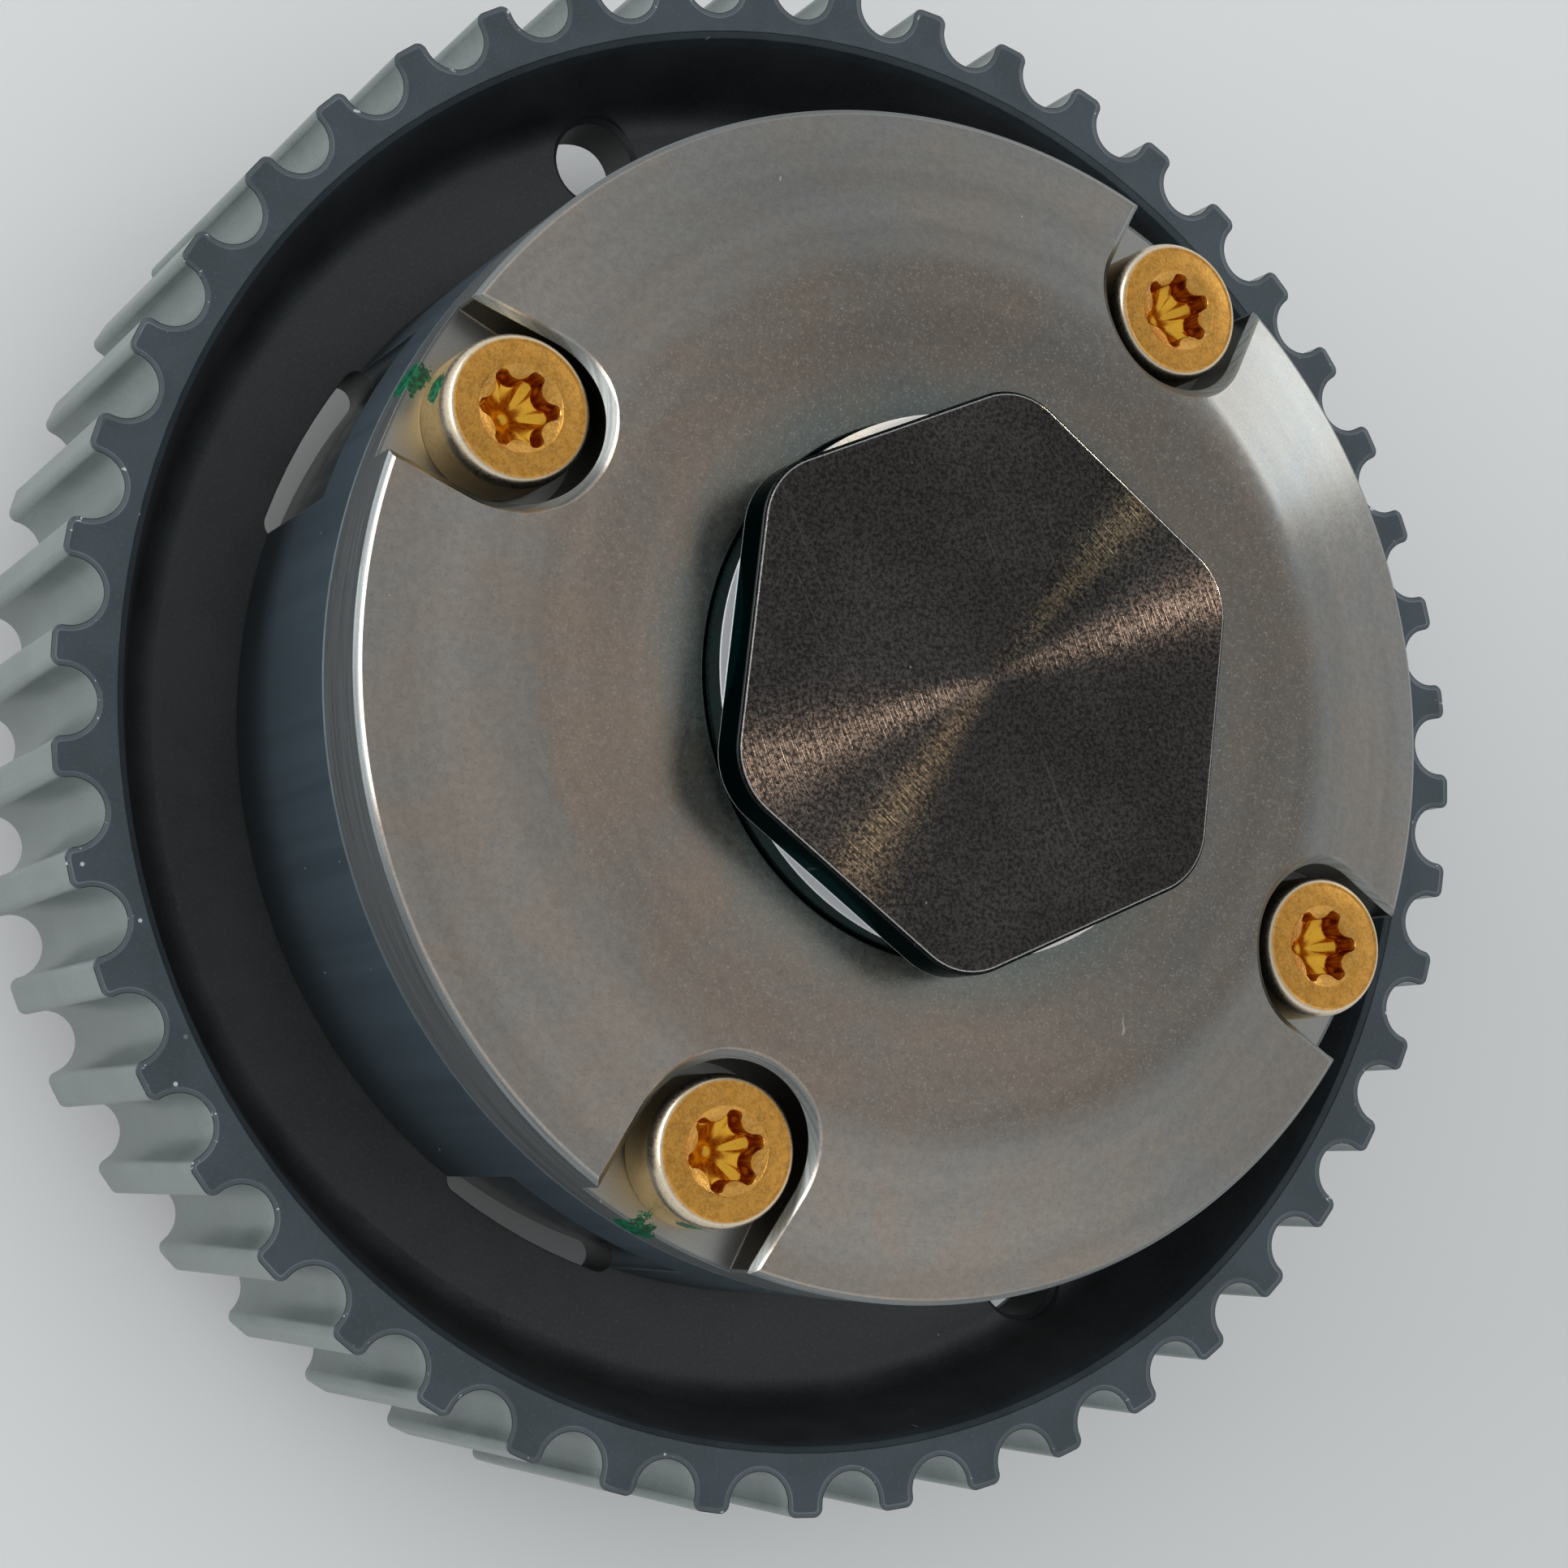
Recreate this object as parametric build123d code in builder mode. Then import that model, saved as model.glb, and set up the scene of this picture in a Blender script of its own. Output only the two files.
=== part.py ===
from build123d import *
from math import cos, pi, radians, sin, sqrt, tan
import os

# Cam phaser with a toothed-belt pulley, in millimetres.
# Its axis is +Z with the hexagon plug on top, and z = 0 is the rear end of the collar.
# Angles are in degrees from +X, anticlockwise seen from the front.

# Belt teeth
tooth_count = 48
tooth_pitch = 8.0
pitch_line_height = 0.686  # from the tooth tips to the belt's pitch line
gap_radius = 2.45  # round bottom of a tooth gap
gap_flank = 0.1  # straight stretch between the bottom and the tip's corner
tip_corner = 0.7
tooth_angle = 5.9  # where one tooth points
belt_width = 25.4
belt_side_room = 0.5

# Pulley
rim_setback = 8.5  # from the collar's end to the rim's rear face
rim_lip = 1.8  # rim wall under the tooth gaps, at both faces
rim_slope = 15.0  # the rim's inner walls lean in towards the web
rim_fillet = 2.5
web_thickness = 5.5
web_hole_radius = 3.3
web_hole_gap = 0.076  # from the hole to the foot of the rim's inner wall
web_hole_angles = [115.8, 306.3]
web_hole_chamfer = 0.4
hub_wall = 1.1  # outside the screws' threads
hub_thickness = 9.0
collar_radius = 21.0
collar_length = 15.0
collar_chamfer = 0.8
collar_root = 0.8  # chamfer that stiffens the collar's root
sleeve_radius = 15.0  # bore for the camshaft's nose
sleeve_relief = 0.5  # wider stretch of the bore at the rotor, round the dowel
sleeve_relief_length = 6.0
sleeve_wall = 1.7  # from the relief to the lock pin's bush
edge_break = 0.4

# Stator
stator_height = 21.0
stator_edge = 0.2
stator_wall = 3.5  # outside the screw holes
chamber_corner = 1.5
shoe_half_angle = 13.7
shoe_angles = [160.0, 250.0, 340.0, 70.0]
slot_depth_in_wall = 1.8  # slots at the screws, in the stator's wall and through the web below it
slot_height = 13.6
slot_width = 2.4
slot_half_angle = 8.5

# Front cover
cover_thickness = 7.0
cover_chamfer = 0.5
cover_inner_break = 0.2
pocket_side_room = 1.0  # round the screw's seat
pocket_depth = 3.6
seat_room = 1.2  # round the screw's head
seat_depth = 0.5

# Cover screws
screw_angles = [160.0, 250.0, 340.0, 64.0]  # one is shifted so that the cover fits one way only
screw_radius = 3.0
screw_length = 30.0
screw_hole_room = 0.1
screw_thread_room = 0.03
head_radius = 5.1
head_height = 5.0
head_chamfer = 0.5
lobe_circle = 2.15
lobe_radius = 0.65
lobe_core = 2.35
lobe_valley_circle = 2.95
lobe_valley_radius = 0.9
lobe_depth = 2.8
point_chamfer = 0.8

# Hexagon plug
hexagon_flats = 38.0
hexagon_height = 3.2
hexagon_corner = 5.4
hexagon_angle = 30.6
hexagon_chamfer = 0.25
plug_collar_wall = 0.9  # outside the O-ring's groove
plug_collar_height = 5.6
plug_stem_radius = 16.0
plug_stem_gap = 0.5  # from the stem's end to the stator's front
plug_hollow_radius = 12.5
plug_roof = 4.8
plug_room = 0.05

# O-rings lie squeezed flat in their grooves
ring_side_room = 0.2
face_ring_width = 1.5
face_groove_depth = 1.2
face_ring_land = 0.9  # from the chambers to the groove
face_ring_wall = 0.7  # from the groove to the screw holes
plug_ring_width = 1.6
plug_groove_depth = 1.3
plug_ring_land = 0.95  # from the cover's bore to the groove

# Rotor
rotor_hub_radius = 19.0
rotor_end_room = 0.05  # to the hub disc and to the cover
shoe_room = 0.08  # running clearance of the hub in the shoes
vane_room = 0.3
vane_half_angle = 12.0
travel_angle = 25.0
stop_angle = 0.3  # left between the lock vane and a shoe at each end of the travel
bolt_hole_radius = 6.3
bolt_seat_radius = 13.0
bolt_seat_depth = 11.0
port_radius = 1.2
port_circle = 12.2
port_height = 5.0
port_side_angle = 5.0

# Tip seals and their leaf springs
seal_width = 1.9
seal_height = 2.6
seal_slot_room = 0.1
seal_slot_depth = 3.6
seal_room = 0.05  # to the face that the seal runs on
seal_end_room = 0.1
leaf_thickness = 0.25
leaf_length = 17.0
leaf_width = 1.5
leaf_room = 0.04

# Lock pin
pin_radius = 3.2
pin_bore_room = 0.05
pin_length = 12.0
pin_lift = 0.25  # pin's end above the hub disc, out of the bush
pin_nose = 0.5
pin_cup_wall = 1.15
pin_cup_depth = 9.0
cap_ledge = 0.8  # the cap's edge beyond the pin
cap_thickness = 1.5
cap_vent_radius = 0.8
cap_wall = 1.1  # from the cap to the vane's seal slot
bush_wall = 1.45
bush_length = 5.0
bush_room = 0.15  # round the pin
spring_wire = 0.5  # square wire
spring_side_room = 0.2  # to the pin's cup
spring_turns = 6

# Dowels
dowel_radius = 2.0
dowel_length = 8.0
dowel_room = 0.02
dowel_chamfer = 0.4
locating_dowel_angle = 292.0
cover_dowel_angle = 22.0
camshaft_dowel_circle = 10.4
camshaft_dowel_length = 9.0
camshaft_dowel_stickout = 4.0

# Radii that follow, from the camshaft's nose out to the drum
bush_radius = pin_radius + bush_room + bush_wall
cap_radius = pin_radius + cap_ledge
pin_cup_radius = pin_radius - pin_cup_wall
spring_radius = pin_cup_radius - spring_side_room - spring_wire / 2
lock_circle = sleeve_radius + sleeve_relief + sleeve_wall + bush_radius
vane_tip_radius = lock_circle + cap_radius + cap_wall + seal_slot_depth
chamber_radius = vane_tip_radius + vane_room
face_groove_width = face_ring_width + ring_side_room
face_ring_radius = chamber_radius + face_ring_land + face_groove_width / 2
screw_hole_radius = screw_radius + screw_hole_room
screw_circle = face_ring_radius + face_groove_width / 2 + face_ring_wall + screw_hole_radius
stator_radius = screw_circle + screw_hole_radius + stator_wall
hub_radius = screw_circle + screw_radius + hub_wall
seat_radius = head_radius + seat_room
pocket_half_width = seat_radius + pocket_side_room
plug_groove_width = plug_ring_width + ring_side_room
plug_ring_radius = plug_stem_radius + plug_room + plug_ring_land + plug_groove_width / 2
plug_collar_radius = plug_ring_radius + plug_groove_width / 2 + plug_collar_wall
seal_slot_width = seal_width + seal_slot_room

# Levels and the rim's radii that follow
tip_radius = tooth_count * tooth_pitch / (2 * pi) - pitch_line_height
corner_circle = tip_radius - tip_corner
corner_reach = sqrt(corner_circle**2 - (gap_radius + tip_corner) ** 2)
gap_centre = corner_reach - gap_flank
root_radius = gap_centre - gap_radius
rim_width = belt_width + 2 * belt_side_room
rim_lip_radius = root_radius - rim_lip
rim_rear = rim_setback
rim_front = rim_rear + rim_width
hub_rear = collar_length
hub_front = hub_rear + hub_thickness
web_rear = hub_front - web_thickness
rim_front_base = rim_lip_radius - (rim_front - hub_front) * tan(radians(rim_slope))
rim_rear_base = rim_lip_radius - (web_rear - rim_rear) * tan(radians(rim_slope))
web_hole_circle = rim_front_base - web_hole_gap - web_hole_radius
stator_front = hub_front + stator_height
cover_front = stator_front + cover_thickness
pocket_floor = cover_front - pocket_depth
screw_seat = pocket_floor - seat_depth
slot_middle = stator_radius - slot_depth_in_wall + slot_width / 2
rotor_rear = hub_front + rotor_end_room
rotor_front = stator_front - rotor_end_room
rotor_height = rotor_front - rotor_rear
seal_length = stator_height - 2 * seal_end_room
seal_middle = (hub_front + stator_front) / 2

# At rest the lock vane stands at its stop, anticlockwise in its chamber.
chamber_half_angle = 45.0 - shoe_half_angle
lock_vane_half_angle = chamber_half_angle - stop_angle - travel_angle / 2
lock_angle = shoe_angles[0] - 45.0 + chamber_half_angle - stop_angle - lock_vane_half_angle
vane_angles = [lock_angle + 90.0 * number for number in range(4)]


def spot(angle, radius=0.0, height=0.0):
    """A place at this angle, radius and height, with its X axis pointing outwards."""
    return Location((radius * cos(radians(angle)), radius * sin(radians(angle)), height), (0, 0, angle))


def finish(piece, name):
    """Label a sub-part and write it to its own file."""
    piece.part.label = name
    export_step(piece.part, f"parts/{name}.step")


os.makedirs("parts", exist_ok=True)

# Outlines that several pieces use

with BuildSketch() as gap_outline:
    flank_start = (gap_centre, gap_radius)
    flank_end = (corner_reach, gap_radius)
    tip_scale = tip_radius / corner_circle
    tip_end = (corner_reach * tip_scale, (gap_radius + tip_corner) * tip_scale)
    outside = tip_radius + tip_corner
    with BuildLine():
        RadiusArc((root_radius, 0), flank_start, gap_radius)
        Line(flank_start, flank_end)
        TangentArc(flank_end, tip_end, tangent=(1, 0))
        Polyline(tip_end, (outside, tip_end[1]), (outside, 0))
        mirror(about=Plane.XZ)
    make_face()

slot_path = CenterArc((0, 0), slot_middle, -slot_half_angle, 2 * slot_half_angle)
with BuildSketch() as slot_outline:
    SlotArc(slot_path, slot_width)


def pie(radius, half_angle, corner):
    """A slice of a disc about +X with its two outer corners rounded."""
    with BuildSketch() as outline:
        with BuildLine():
            rim = CenterArc((0, 0), radius, -half_angle, 2 * half_angle)
            Polyline(rim @ 0, (0, 0), rim @ 1)
        make_face()
        fillet(outline.vertices().sort_by(Axis.X)[-2:], corner)
    return outline.sketch


# Belt pulley: toothed rim, web, hub disc and collar in one

with BuildPart() as belt_pulley:
    with BuildSketch(Plane.XZ):
        with BuildLine():
            corners = [  # each corner's radius and height, and how far it is rounded
                ((sleeve_radius, 0), 0),
                ((collar_radius - collar_chamfer, 0), 0),
                ((collar_radius, collar_chamfer), 0),
                ((collar_radius, hub_rear - collar_root), 0),
                ((collar_radius + collar_root, hub_rear), 0),
                ((hub_radius - edge_break, hub_rear), 0),
                ((hub_radius, hub_rear + edge_break), 0),
                ((hub_radius, web_rear), 0),
                ((rim_rear_base, web_rear), rim_fillet),
                ((rim_lip_radius, rim_rear), 0),
                ((tip_radius, rim_rear), 0),
                ((tip_radius, rim_front), 0),
                ((rim_lip_radius, rim_front), 0),
                ((rim_front_base, hub_front), rim_fillet),
                ((sleeve_radius + sleeve_relief, hub_front), 0),
                ((sleeve_radius + sleeve_relief, hub_front - sleeve_relief_length), 0),
                ((sleeve_radius, hub_front - sleeve_relief_length), 0),
            ]
            FilletPolyline([at for at, _ in corners], radius=[size for _, size in corners], close=True)
        make_face()
    revolve(axis=Axis.Z)
    round_edges = belt_pulley.edges().filter_by(GeomType.CIRCLE)
    chamfer(round_edges.filter_by(lambda edge: abs(edge.radius - rim_lip_radius) < edge_break / 2), edge_break)
    with BuildSketch(Plane.XY.offset(rim_rear)):
        with PolarLocations(0, tooth_count, start_angle=tooth_angle + 180.0 / tooth_count):
            add(gap_outline.sketch)
    extrude(amount=rim_width, mode=Mode.SUBTRACT)
    with BuildSketch(Plane.XY.offset(web_rear)):
        with Locations(*[spot(angle) for angle in screw_angles]):
            add(slot_outline.sketch)
    extrude(amount=web_thickness, mode=Mode.SUBTRACT)
    with Locations(*[spot(angle, web_hole_circle, hub_front) for angle in web_hole_angles]):
        CounterSinkHole(web_hole_radius, web_hole_radius + web_hole_chamfer)
    with Locations(*[spot(angle, screw_circle, hub_front) for angle in screw_angles]):
        Hole(screw_radius + screw_thread_room)
    with Locations(spot(lock_angle, lock_circle, hub_front)):
        Hole(bush_radius, bush_length)
    with Locations(spot(locating_dowel_angle, screw_circle, hub_front)):
        Hole(dowel_radius + dowel_room, dowel_length / 2 + seal_end_room)
finish(belt_pulley, "belt_pulley")

# Stator: four chambers between four shoes

with BuildPart() as stator:
    with BuildSketch(Plane.XY.offset(hub_front)):
        Circle(stator_radius)
        with Locations(*[spot(angle - 45.0) for angle in shoe_angles]):
            add(pie(chamber_radius, chamber_half_angle, chamber_corner), mode=Mode.SUBTRACT)
        with Locations(*[spot(angle, rotor_hub_radius + seal_slot_depth) for angle in shoe_angles]):
            Rectangle(rotor_hub_radius, seal_slot_width, align=(Align.MAX, Align.CENTER), mode=Mode.SUBTRACT)
        Circle(rotor_hub_radius + shoe_room, mode=Mode.SUBTRACT)
    extrude(amount=stator_height)
    outer_edges = stator.edges().filter_by(GeomType.CIRCLE).sort_by(SortBy.RADIUS)[-2:]
    chamfer(outer_edges, stator_edge)
    for floor, depth in ((hub_front, face_groove_depth), (stator_front, -face_groove_depth)):
        with BuildSketch(Plane.XY.offset(floor)):
            Circle(face_ring_radius + face_groove_width / 2)
            Circle(face_ring_radius - face_groove_width / 2, mode=Mode.SUBTRACT)
        extrude(amount=depth, mode=Mode.SUBTRACT)
    with BuildSketch(Plane.XY.offset(hub_front)):
        with Locations(*[spot(angle) for angle in screw_angles]):
            add(slot_outline.sketch)
    extrude(amount=slot_height, mode=Mode.SUBTRACT)
    with Locations(*[spot(angle, screw_circle, stator_front) for angle in screw_angles]):
        Hole(screw_hole_radius)
    with Locations(spot(cover_dowel_angle, screw_circle, stator_front)):
        Hole(dowel_radius + dowel_room, dowel_length / 2 + seal_end_room)
    with BuildSketch(Plane.XY.offset(hub_front)):
        with Locations(spot(locating_dowel_angle, screw_circle)):
            Circle(dowel_radius + dowel_room)
    extrude(amount=dowel_length / 2 + seal_end_room, mode=Mode.SUBTRACT)
finish(stator, "stator")

# Front cover, with a pocket open at its edge for each screw head

with BuildPart() as front_cover:
    with BuildSketch(Plane.XY.offset(stator_front)):
        Circle(stator_radius)
        Circle(plug_stem_radius + plug_room, mode=Mode.SUBTRACT)
    extrude(amount=cover_thickness)
    rear_edge, front_edge = front_cover.edges().filter_by(GeomType.CIRCLE).sort_by(SortBy.RADIUS)[-2:].sort_by(Axis.Z)
    chamfer(front_edge, cover_chamfer)
    rear_edge = front_cover.edges().filter_by(GeomType.CIRCLE).group_by(Axis.Z)[0].sort_by(SortBy.RADIUS)[-1]
    chamfer(rear_edge, cover_inner_break)
    with BuildSketch(Plane.XY.offset(pocket_floor)):
        with Locations(*[spot(angle, screw_circle) for angle in screw_angles]):
            Circle(pocket_half_width)
            Rectangle(stator_radius, 2 * pocket_half_width, align=(Align.MIN, Align.CENTER))
    extrude(amount=pocket_depth, mode=Mode.SUBTRACT)
    with Locations(*[spot(angle, screw_circle, pocket_floor) for angle in screw_angles]):
        CounterBoreHole(screw_hole_radius, seat_radius, seat_depth)
    with BuildSketch(Plane.XY.offset(stator_front)):
        with Locations(spot(cover_dowel_angle, screw_circle)):
            Circle(dowel_radius + dowel_room)
    extrude(amount=dowel_length / 2 + seal_end_room, mode=Mode.SUBTRACT)
finish(front_cover, "front_cover")

# Cover screws: one screw with a six-lobe socket, copied to its four places

with BuildPart() as screw:
    with BuildSketch(Plane.XY.offset(screw_seat)):
        Circle(head_radius)
    extrude(amount=head_height)
    chamfer(screw.edges().group_by(Axis.Z)[-1], head_chamfer)
    with BuildSketch(Plane.XY.offset(screw_seat)):
        Circle(screw_radius)
    extrude(amount=-screw_length)
    chamfer(screw.edges().group_by(Axis.Z)[0], point_chamfer)
    with BuildSketch(Plane.XY.offset(screw_seat + head_height)):
        Circle(lobe_core)
        with PolarLocations(lobe_circle, 6):
            Circle(lobe_radius)
        with PolarLocations(lobe_valley_circle, 6, start_angle=30.0):
            Circle(lobe_valley_radius, mode=Mode.SUBTRACT)
    extrude(amount=-lobe_depth, mode=Mode.SUBTRACT)

with BuildPart() as cover_screws:
    with Locations(*[spot(angle, screw_circle) for angle in screw_angles]):
        add(screw.part)
finish(cover_screws, "cover_screws")

# Hexagon plug: hexagon, round collar and hollow stem

with BuildPart() as hex_plug:
    with BuildSketch(Plane.XY.offset(stator_front + plug_stem_gap)):
        Circle(plug_stem_radius)
    extrude(amount=cover_thickness - plug_stem_gap)
    with BuildSketch(Plane.XY.offset(cover_front)):
        Circle(plug_collar_radius)
    extrude(amount=plug_collar_height)
    with BuildSketch(Plane.XY.offset(cover_front + plug_collar_height)) as hexagon:
        RegularPolygon(hexagon_flats / 2, 6, major_radius=False, rotation=hexagon_angle)
        fillet(hexagon.vertices(), hexagon_corner)
    extrude(amount=hexagon_height)
    chamfer(hex_plug.edges().group_by(Axis.Z)[-1], hexagon_chamfer)
    with BuildSketch(Plane.XY.offset(stator_front + plug_stem_gap)):
        Circle(plug_hollow_radius)
    hollow_height = cover_thickness - plug_stem_gap + plug_collar_height + hexagon_height - plug_roof
    extrude(amount=hollow_height, mode=Mode.SUBTRACT)
    with BuildSketch(Plane.XY.offset(cover_front)):
        Circle(plug_ring_radius + plug_groove_width / 2)
        Circle(plug_ring_radius - plug_groove_width / 2, mode=Mode.SUBTRACT)
    extrude(amount=plug_groove_depth, mode=Mode.SUBTRACT)
finish(hex_plug, "hex_plug")

# O-rings, squeezed to the depth of their grooves


def build_o_ring(radius, width, floor, height):
    """A ring on the axis, squeezed flat where it seals."""
    with BuildPart() as ring:
        with BuildSketch(Plane.XZ):
            with Locations((radius, floor + height / 2)):
                section = Rectangle(width, height)
            chamfer(section.vertices(), height / 3)
        revolve(axis=Axis.Z)
    return ring


finish(build_o_ring(face_ring_radius, face_ring_width, hub_front, face_groove_depth), "rear_o_ring")
cover_ring_floor = stator_front - face_groove_depth
finish(build_o_ring(face_ring_radius, face_ring_width, cover_ring_floor, face_groove_depth), "cover_o_ring")
finish(build_o_ring(plug_ring_radius, plug_ring_width, cover_front, plug_groove_depth), "plug_o_ring")

# Rotor: hub and four vanes, with the bolt seat, the oil ports and the lock pin's bore

with BuildPart() as rotor:
    with BuildSketch(Plane.XY.offset(rotor_rear)):
        Circle(rotor_hub_radius)
        with Locations(spot(lock_angle)):
            add(pie(vane_tip_radius, lock_vane_half_angle, chamber_corner))
        with Locations(*[spot(angle) for angle in vane_angles[1:]]):
            add(pie(vane_tip_radius, vane_half_angle, chamber_corner))
        with Locations(*[spot(angle, vane_tip_radius - seal_slot_depth) for angle in vane_angles]):
            Rectangle(rotor_hub_radius, seal_slot_width, align=(Align.MIN, Align.CENTER), mode=Mode.SUBTRACT)
    extrude(amount=rotor_height)
    with Locations((0, 0, rotor_front)):
        CounterBoreHole(bolt_hole_radius, bolt_seat_radius, bolt_seat_depth)
    with Locations(spot(lock_angle, lock_circle, rotor_front)):
        CounterBoreHole(pin_radius + pin_bore_room, cap_radius + dowel_room, cap_thickness + seal_end_room)
    port_angles = [lock_angle + side * (lock_vane_half_angle + port_side_angle) for side in (-1, 1)]
    for angle in vane_angles[1:]:
        port_angles += [angle + side * (vane_half_angle + port_side_angle) for side in (-1, 1)]
    with BuildSketch(Plane.XY.offset(rotor_rear)):
        with Locations(*[spot(angle, port_circle) for angle in port_angles]):
            Circle(port_radius)
    extrude(amount=port_height + port_radius, mode=Mode.SUBTRACT)
    with Locations(*[spot(angle, port_circle, rotor_rear + port_height) for angle in port_angles]):
        Cylinder(
            port_radius,
            rotor_hub_radius,
            rotation=(0, 90, 0),
            align=(Align.CENTER, Align.CENTER, Align.MIN),
            mode=Mode.SUBTRACT,
        )
    with BuildSketch(Plane.XY.offset(rotor_rear)):
        with Locations(spot(lock_angle, camshaft_dowel_circle)):
            Circle(dowel_radius + dowel_room)
    extrude(amount=camshaft_dowel_length - camshaft_dowel_stickout, mode=Mode.SUBTRACT)
finish(rotor, "rotor")

# Tip seals and their leaf springs, at each vane and each shoe


def build_seal(angle, inner, outer):
    """A bar with its running face shaped to the circle that it runs on."""
    with BuildPart() as seal:
        with BuildSketch(Plane.XY.offset(seal_middle - seal_length / 2).rotated((0, 0, angle))):
            with Locations(((inner + outer) / 2, 0)):
                Rectangle(outer - inner + seal_width, seal_width)
            Circle(outer, mode=Mode.INTERSECT)
            Circle(inner, mode=Mode.SUBTRACT)
        extrude(amount=seal_length)
    return seal


def build_leaf(angle, low, high):
    """A bowed strip that reaches from one radius to the other."""
    with BuildPart() as leaf:
        with BuildSketch(Plane.XZ.rotated((0, 0, angle))):
            with BuildLine():
                inner_bow = ThreePointArc(
                    (low, seal_middle - leaf_length / 2),
                    (high - leaf_thickness, seal_middle),
                    (low, seal_middle + leaf_length / 2),
                )
                outer_bow = ThreePointArc(
                    (low + leaf_thickness, seal_middle - leaf_length / 2),
                    (high, seal_middle),
                    (low + leaf_thickness, seal_middle + leaf_length / 2),
                )
                Line(inner_bow @ 0, outer_bow @ 0)
                Line(inner_bow @ 1, outer_bow @ 1)
            make_face()
        extrude(amount=leaf_width / 2, both=True)
    return leaf


for number, angle in enumerate(vane_angles, 1):
    face = chamber_radius - seal_room
    floor = vane_tip_radius - seal_slot_depth
    finish(build_seal(angle, face - seal_height, face), f"vane_seal_{number}")
    finish(build_leaf(angle, floor + leaf_room, face - seal_height - leaf_room), f"vane_spring_{number}")

for number, angle in enumerate(shoe_angles, 1):
    face = rotor_hub_radius + seal_room
    floor = rotor_hub_radius + seal_slot_depth
    finish(build_seal(angle, face, face + seal_height), f"shoe_seal_{number}")
    finish(build_leaf(angle, face + seal_height + leaf_room, floor - leaf_room), f"shoe_spring_{number}")

# Lock pin with its spring and cap in the rotor, and its bush in the hub disc

pin_rear = hub_front + pin_lift
cap_rear = rotor_front - cap_thickness
cup_floor = pin_rear + pin_length - pin_cup_depth

with BuildPart() as lock_pin:
    with BuildSketch(Plane(spot(lock_angle, lock_circle, pin_rear))):
        Circle(pin_radius)
    extrude(amount=pin_length)
    chamfer(lock_pin.edges().group_by(Axis.Z)[0], pin_nose)
    with Locations(spot(lock_angle, lock_circle, pin_rear + pin_length)):
        Hole(pin_cup_radius, pin_cup_depth)
finish(lock_pin, "lock_pin")

with BuildPart() as lock_cap:
    with BuildSketch(Plane(spot(lock_angle, lock_circle, cap_rear))):
        Circle(cap_radius)
        Circle(cap_vent_radius, mode=Mode.SUBTRACT)
    extrude(amount=cap_thickness)
finish(lock_cap, "lock_cap")

with BuildPart() as lock_spring:
    with BuildLine() as coil:
        height = cap_rear - cup_floor - spring_wire
        centre = spot(lock_angle, lock_circle, cup_floor + spring_wire / 2).position
        Helix(height / spring_turns, height, spring_radius, center=centre)
    with BuildSketch(Plane(origin=coil.line @ 0, z_dir=coil.line % 0)):
        Rectangle(spring_wire, spring_wire)
    sweep(is_frenet=True)
finish(lock_spring, "lock_spring")

with BuildPart() as lock_bush:
    with BuildSketch(Plane(spot(lock_angle, lock_circle, hub_front - bush_length))):
        Circle(bush_radius - dowel_room)
        Circle(pin_radius + bush_room, mode=Mode.SUBTRACT)
    extrude(amount=bush_length)
finish(lock_bush, "lock_bush")

# Dowels


def build_dowel(place, length):
    """A pin with both ends chamfered, standing up from this place."""
    with BuildPart() as dowel:
        with BuildSketch(Plane(place)):
            Circle(dowel_radius)
        extrude(amount=length)
        chamfer(dowel.edges().filter_by(GeomType.CIRCLE), dowel_chamfer)
    return dowel


locating_place = spot(locating_dowel_angle, screw_circle, hub_front - dowel_length / 2)
cover_place = spot(cover_dowel_angle, screw_circle, stator_front - dowel_length / 2)
camshaft_place = spot(lock_angle, camshaft_dowel_circle, rotor_rear - camshaft_dowel_stickout)
finish(build_dowel(locating_place, dowel_length), "locating_dowel")
finish(build_dowel(cover_place, dowel_length), "cover_dowel")
finish(build_dowel(camshaft_place, camshaft_dowel_length), "camshaft_dowel")
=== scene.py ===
from math import cos, pi, radians, sin, sqrt

import bmesh
import bpy
from bpy.props import FloatProperty, FloatVectorProperty, IntProperty, PointerProperty
from bpy.types import Operator, Panel, PropertyGroup
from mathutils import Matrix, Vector


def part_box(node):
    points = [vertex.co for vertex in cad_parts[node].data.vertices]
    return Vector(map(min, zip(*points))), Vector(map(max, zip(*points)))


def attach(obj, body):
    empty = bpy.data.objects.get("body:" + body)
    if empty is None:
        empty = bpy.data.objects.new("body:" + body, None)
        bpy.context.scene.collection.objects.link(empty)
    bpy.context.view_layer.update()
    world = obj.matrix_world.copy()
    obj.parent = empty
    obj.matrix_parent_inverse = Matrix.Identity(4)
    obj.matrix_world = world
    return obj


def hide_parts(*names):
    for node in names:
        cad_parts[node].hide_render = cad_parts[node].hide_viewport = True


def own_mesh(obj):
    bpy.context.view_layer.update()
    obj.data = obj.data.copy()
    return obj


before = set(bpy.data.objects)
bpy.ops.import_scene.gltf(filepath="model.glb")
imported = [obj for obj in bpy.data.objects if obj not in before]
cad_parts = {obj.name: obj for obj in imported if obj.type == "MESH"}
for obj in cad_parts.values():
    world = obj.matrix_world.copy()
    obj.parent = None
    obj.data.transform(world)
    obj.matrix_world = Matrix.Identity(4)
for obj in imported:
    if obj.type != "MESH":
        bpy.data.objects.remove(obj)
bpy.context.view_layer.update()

bl_info = {
    "name": "Cam Phaser",
    "version": (1, 0, 0),
    "blender": (4, 5, 0),
    "location": "3D View > Sidebar > Cam Phaser",
    "description": "Cover, screws, finishes and stage of a belt-driven cam phaser",
    "category": "Add Mesh",
}

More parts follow.
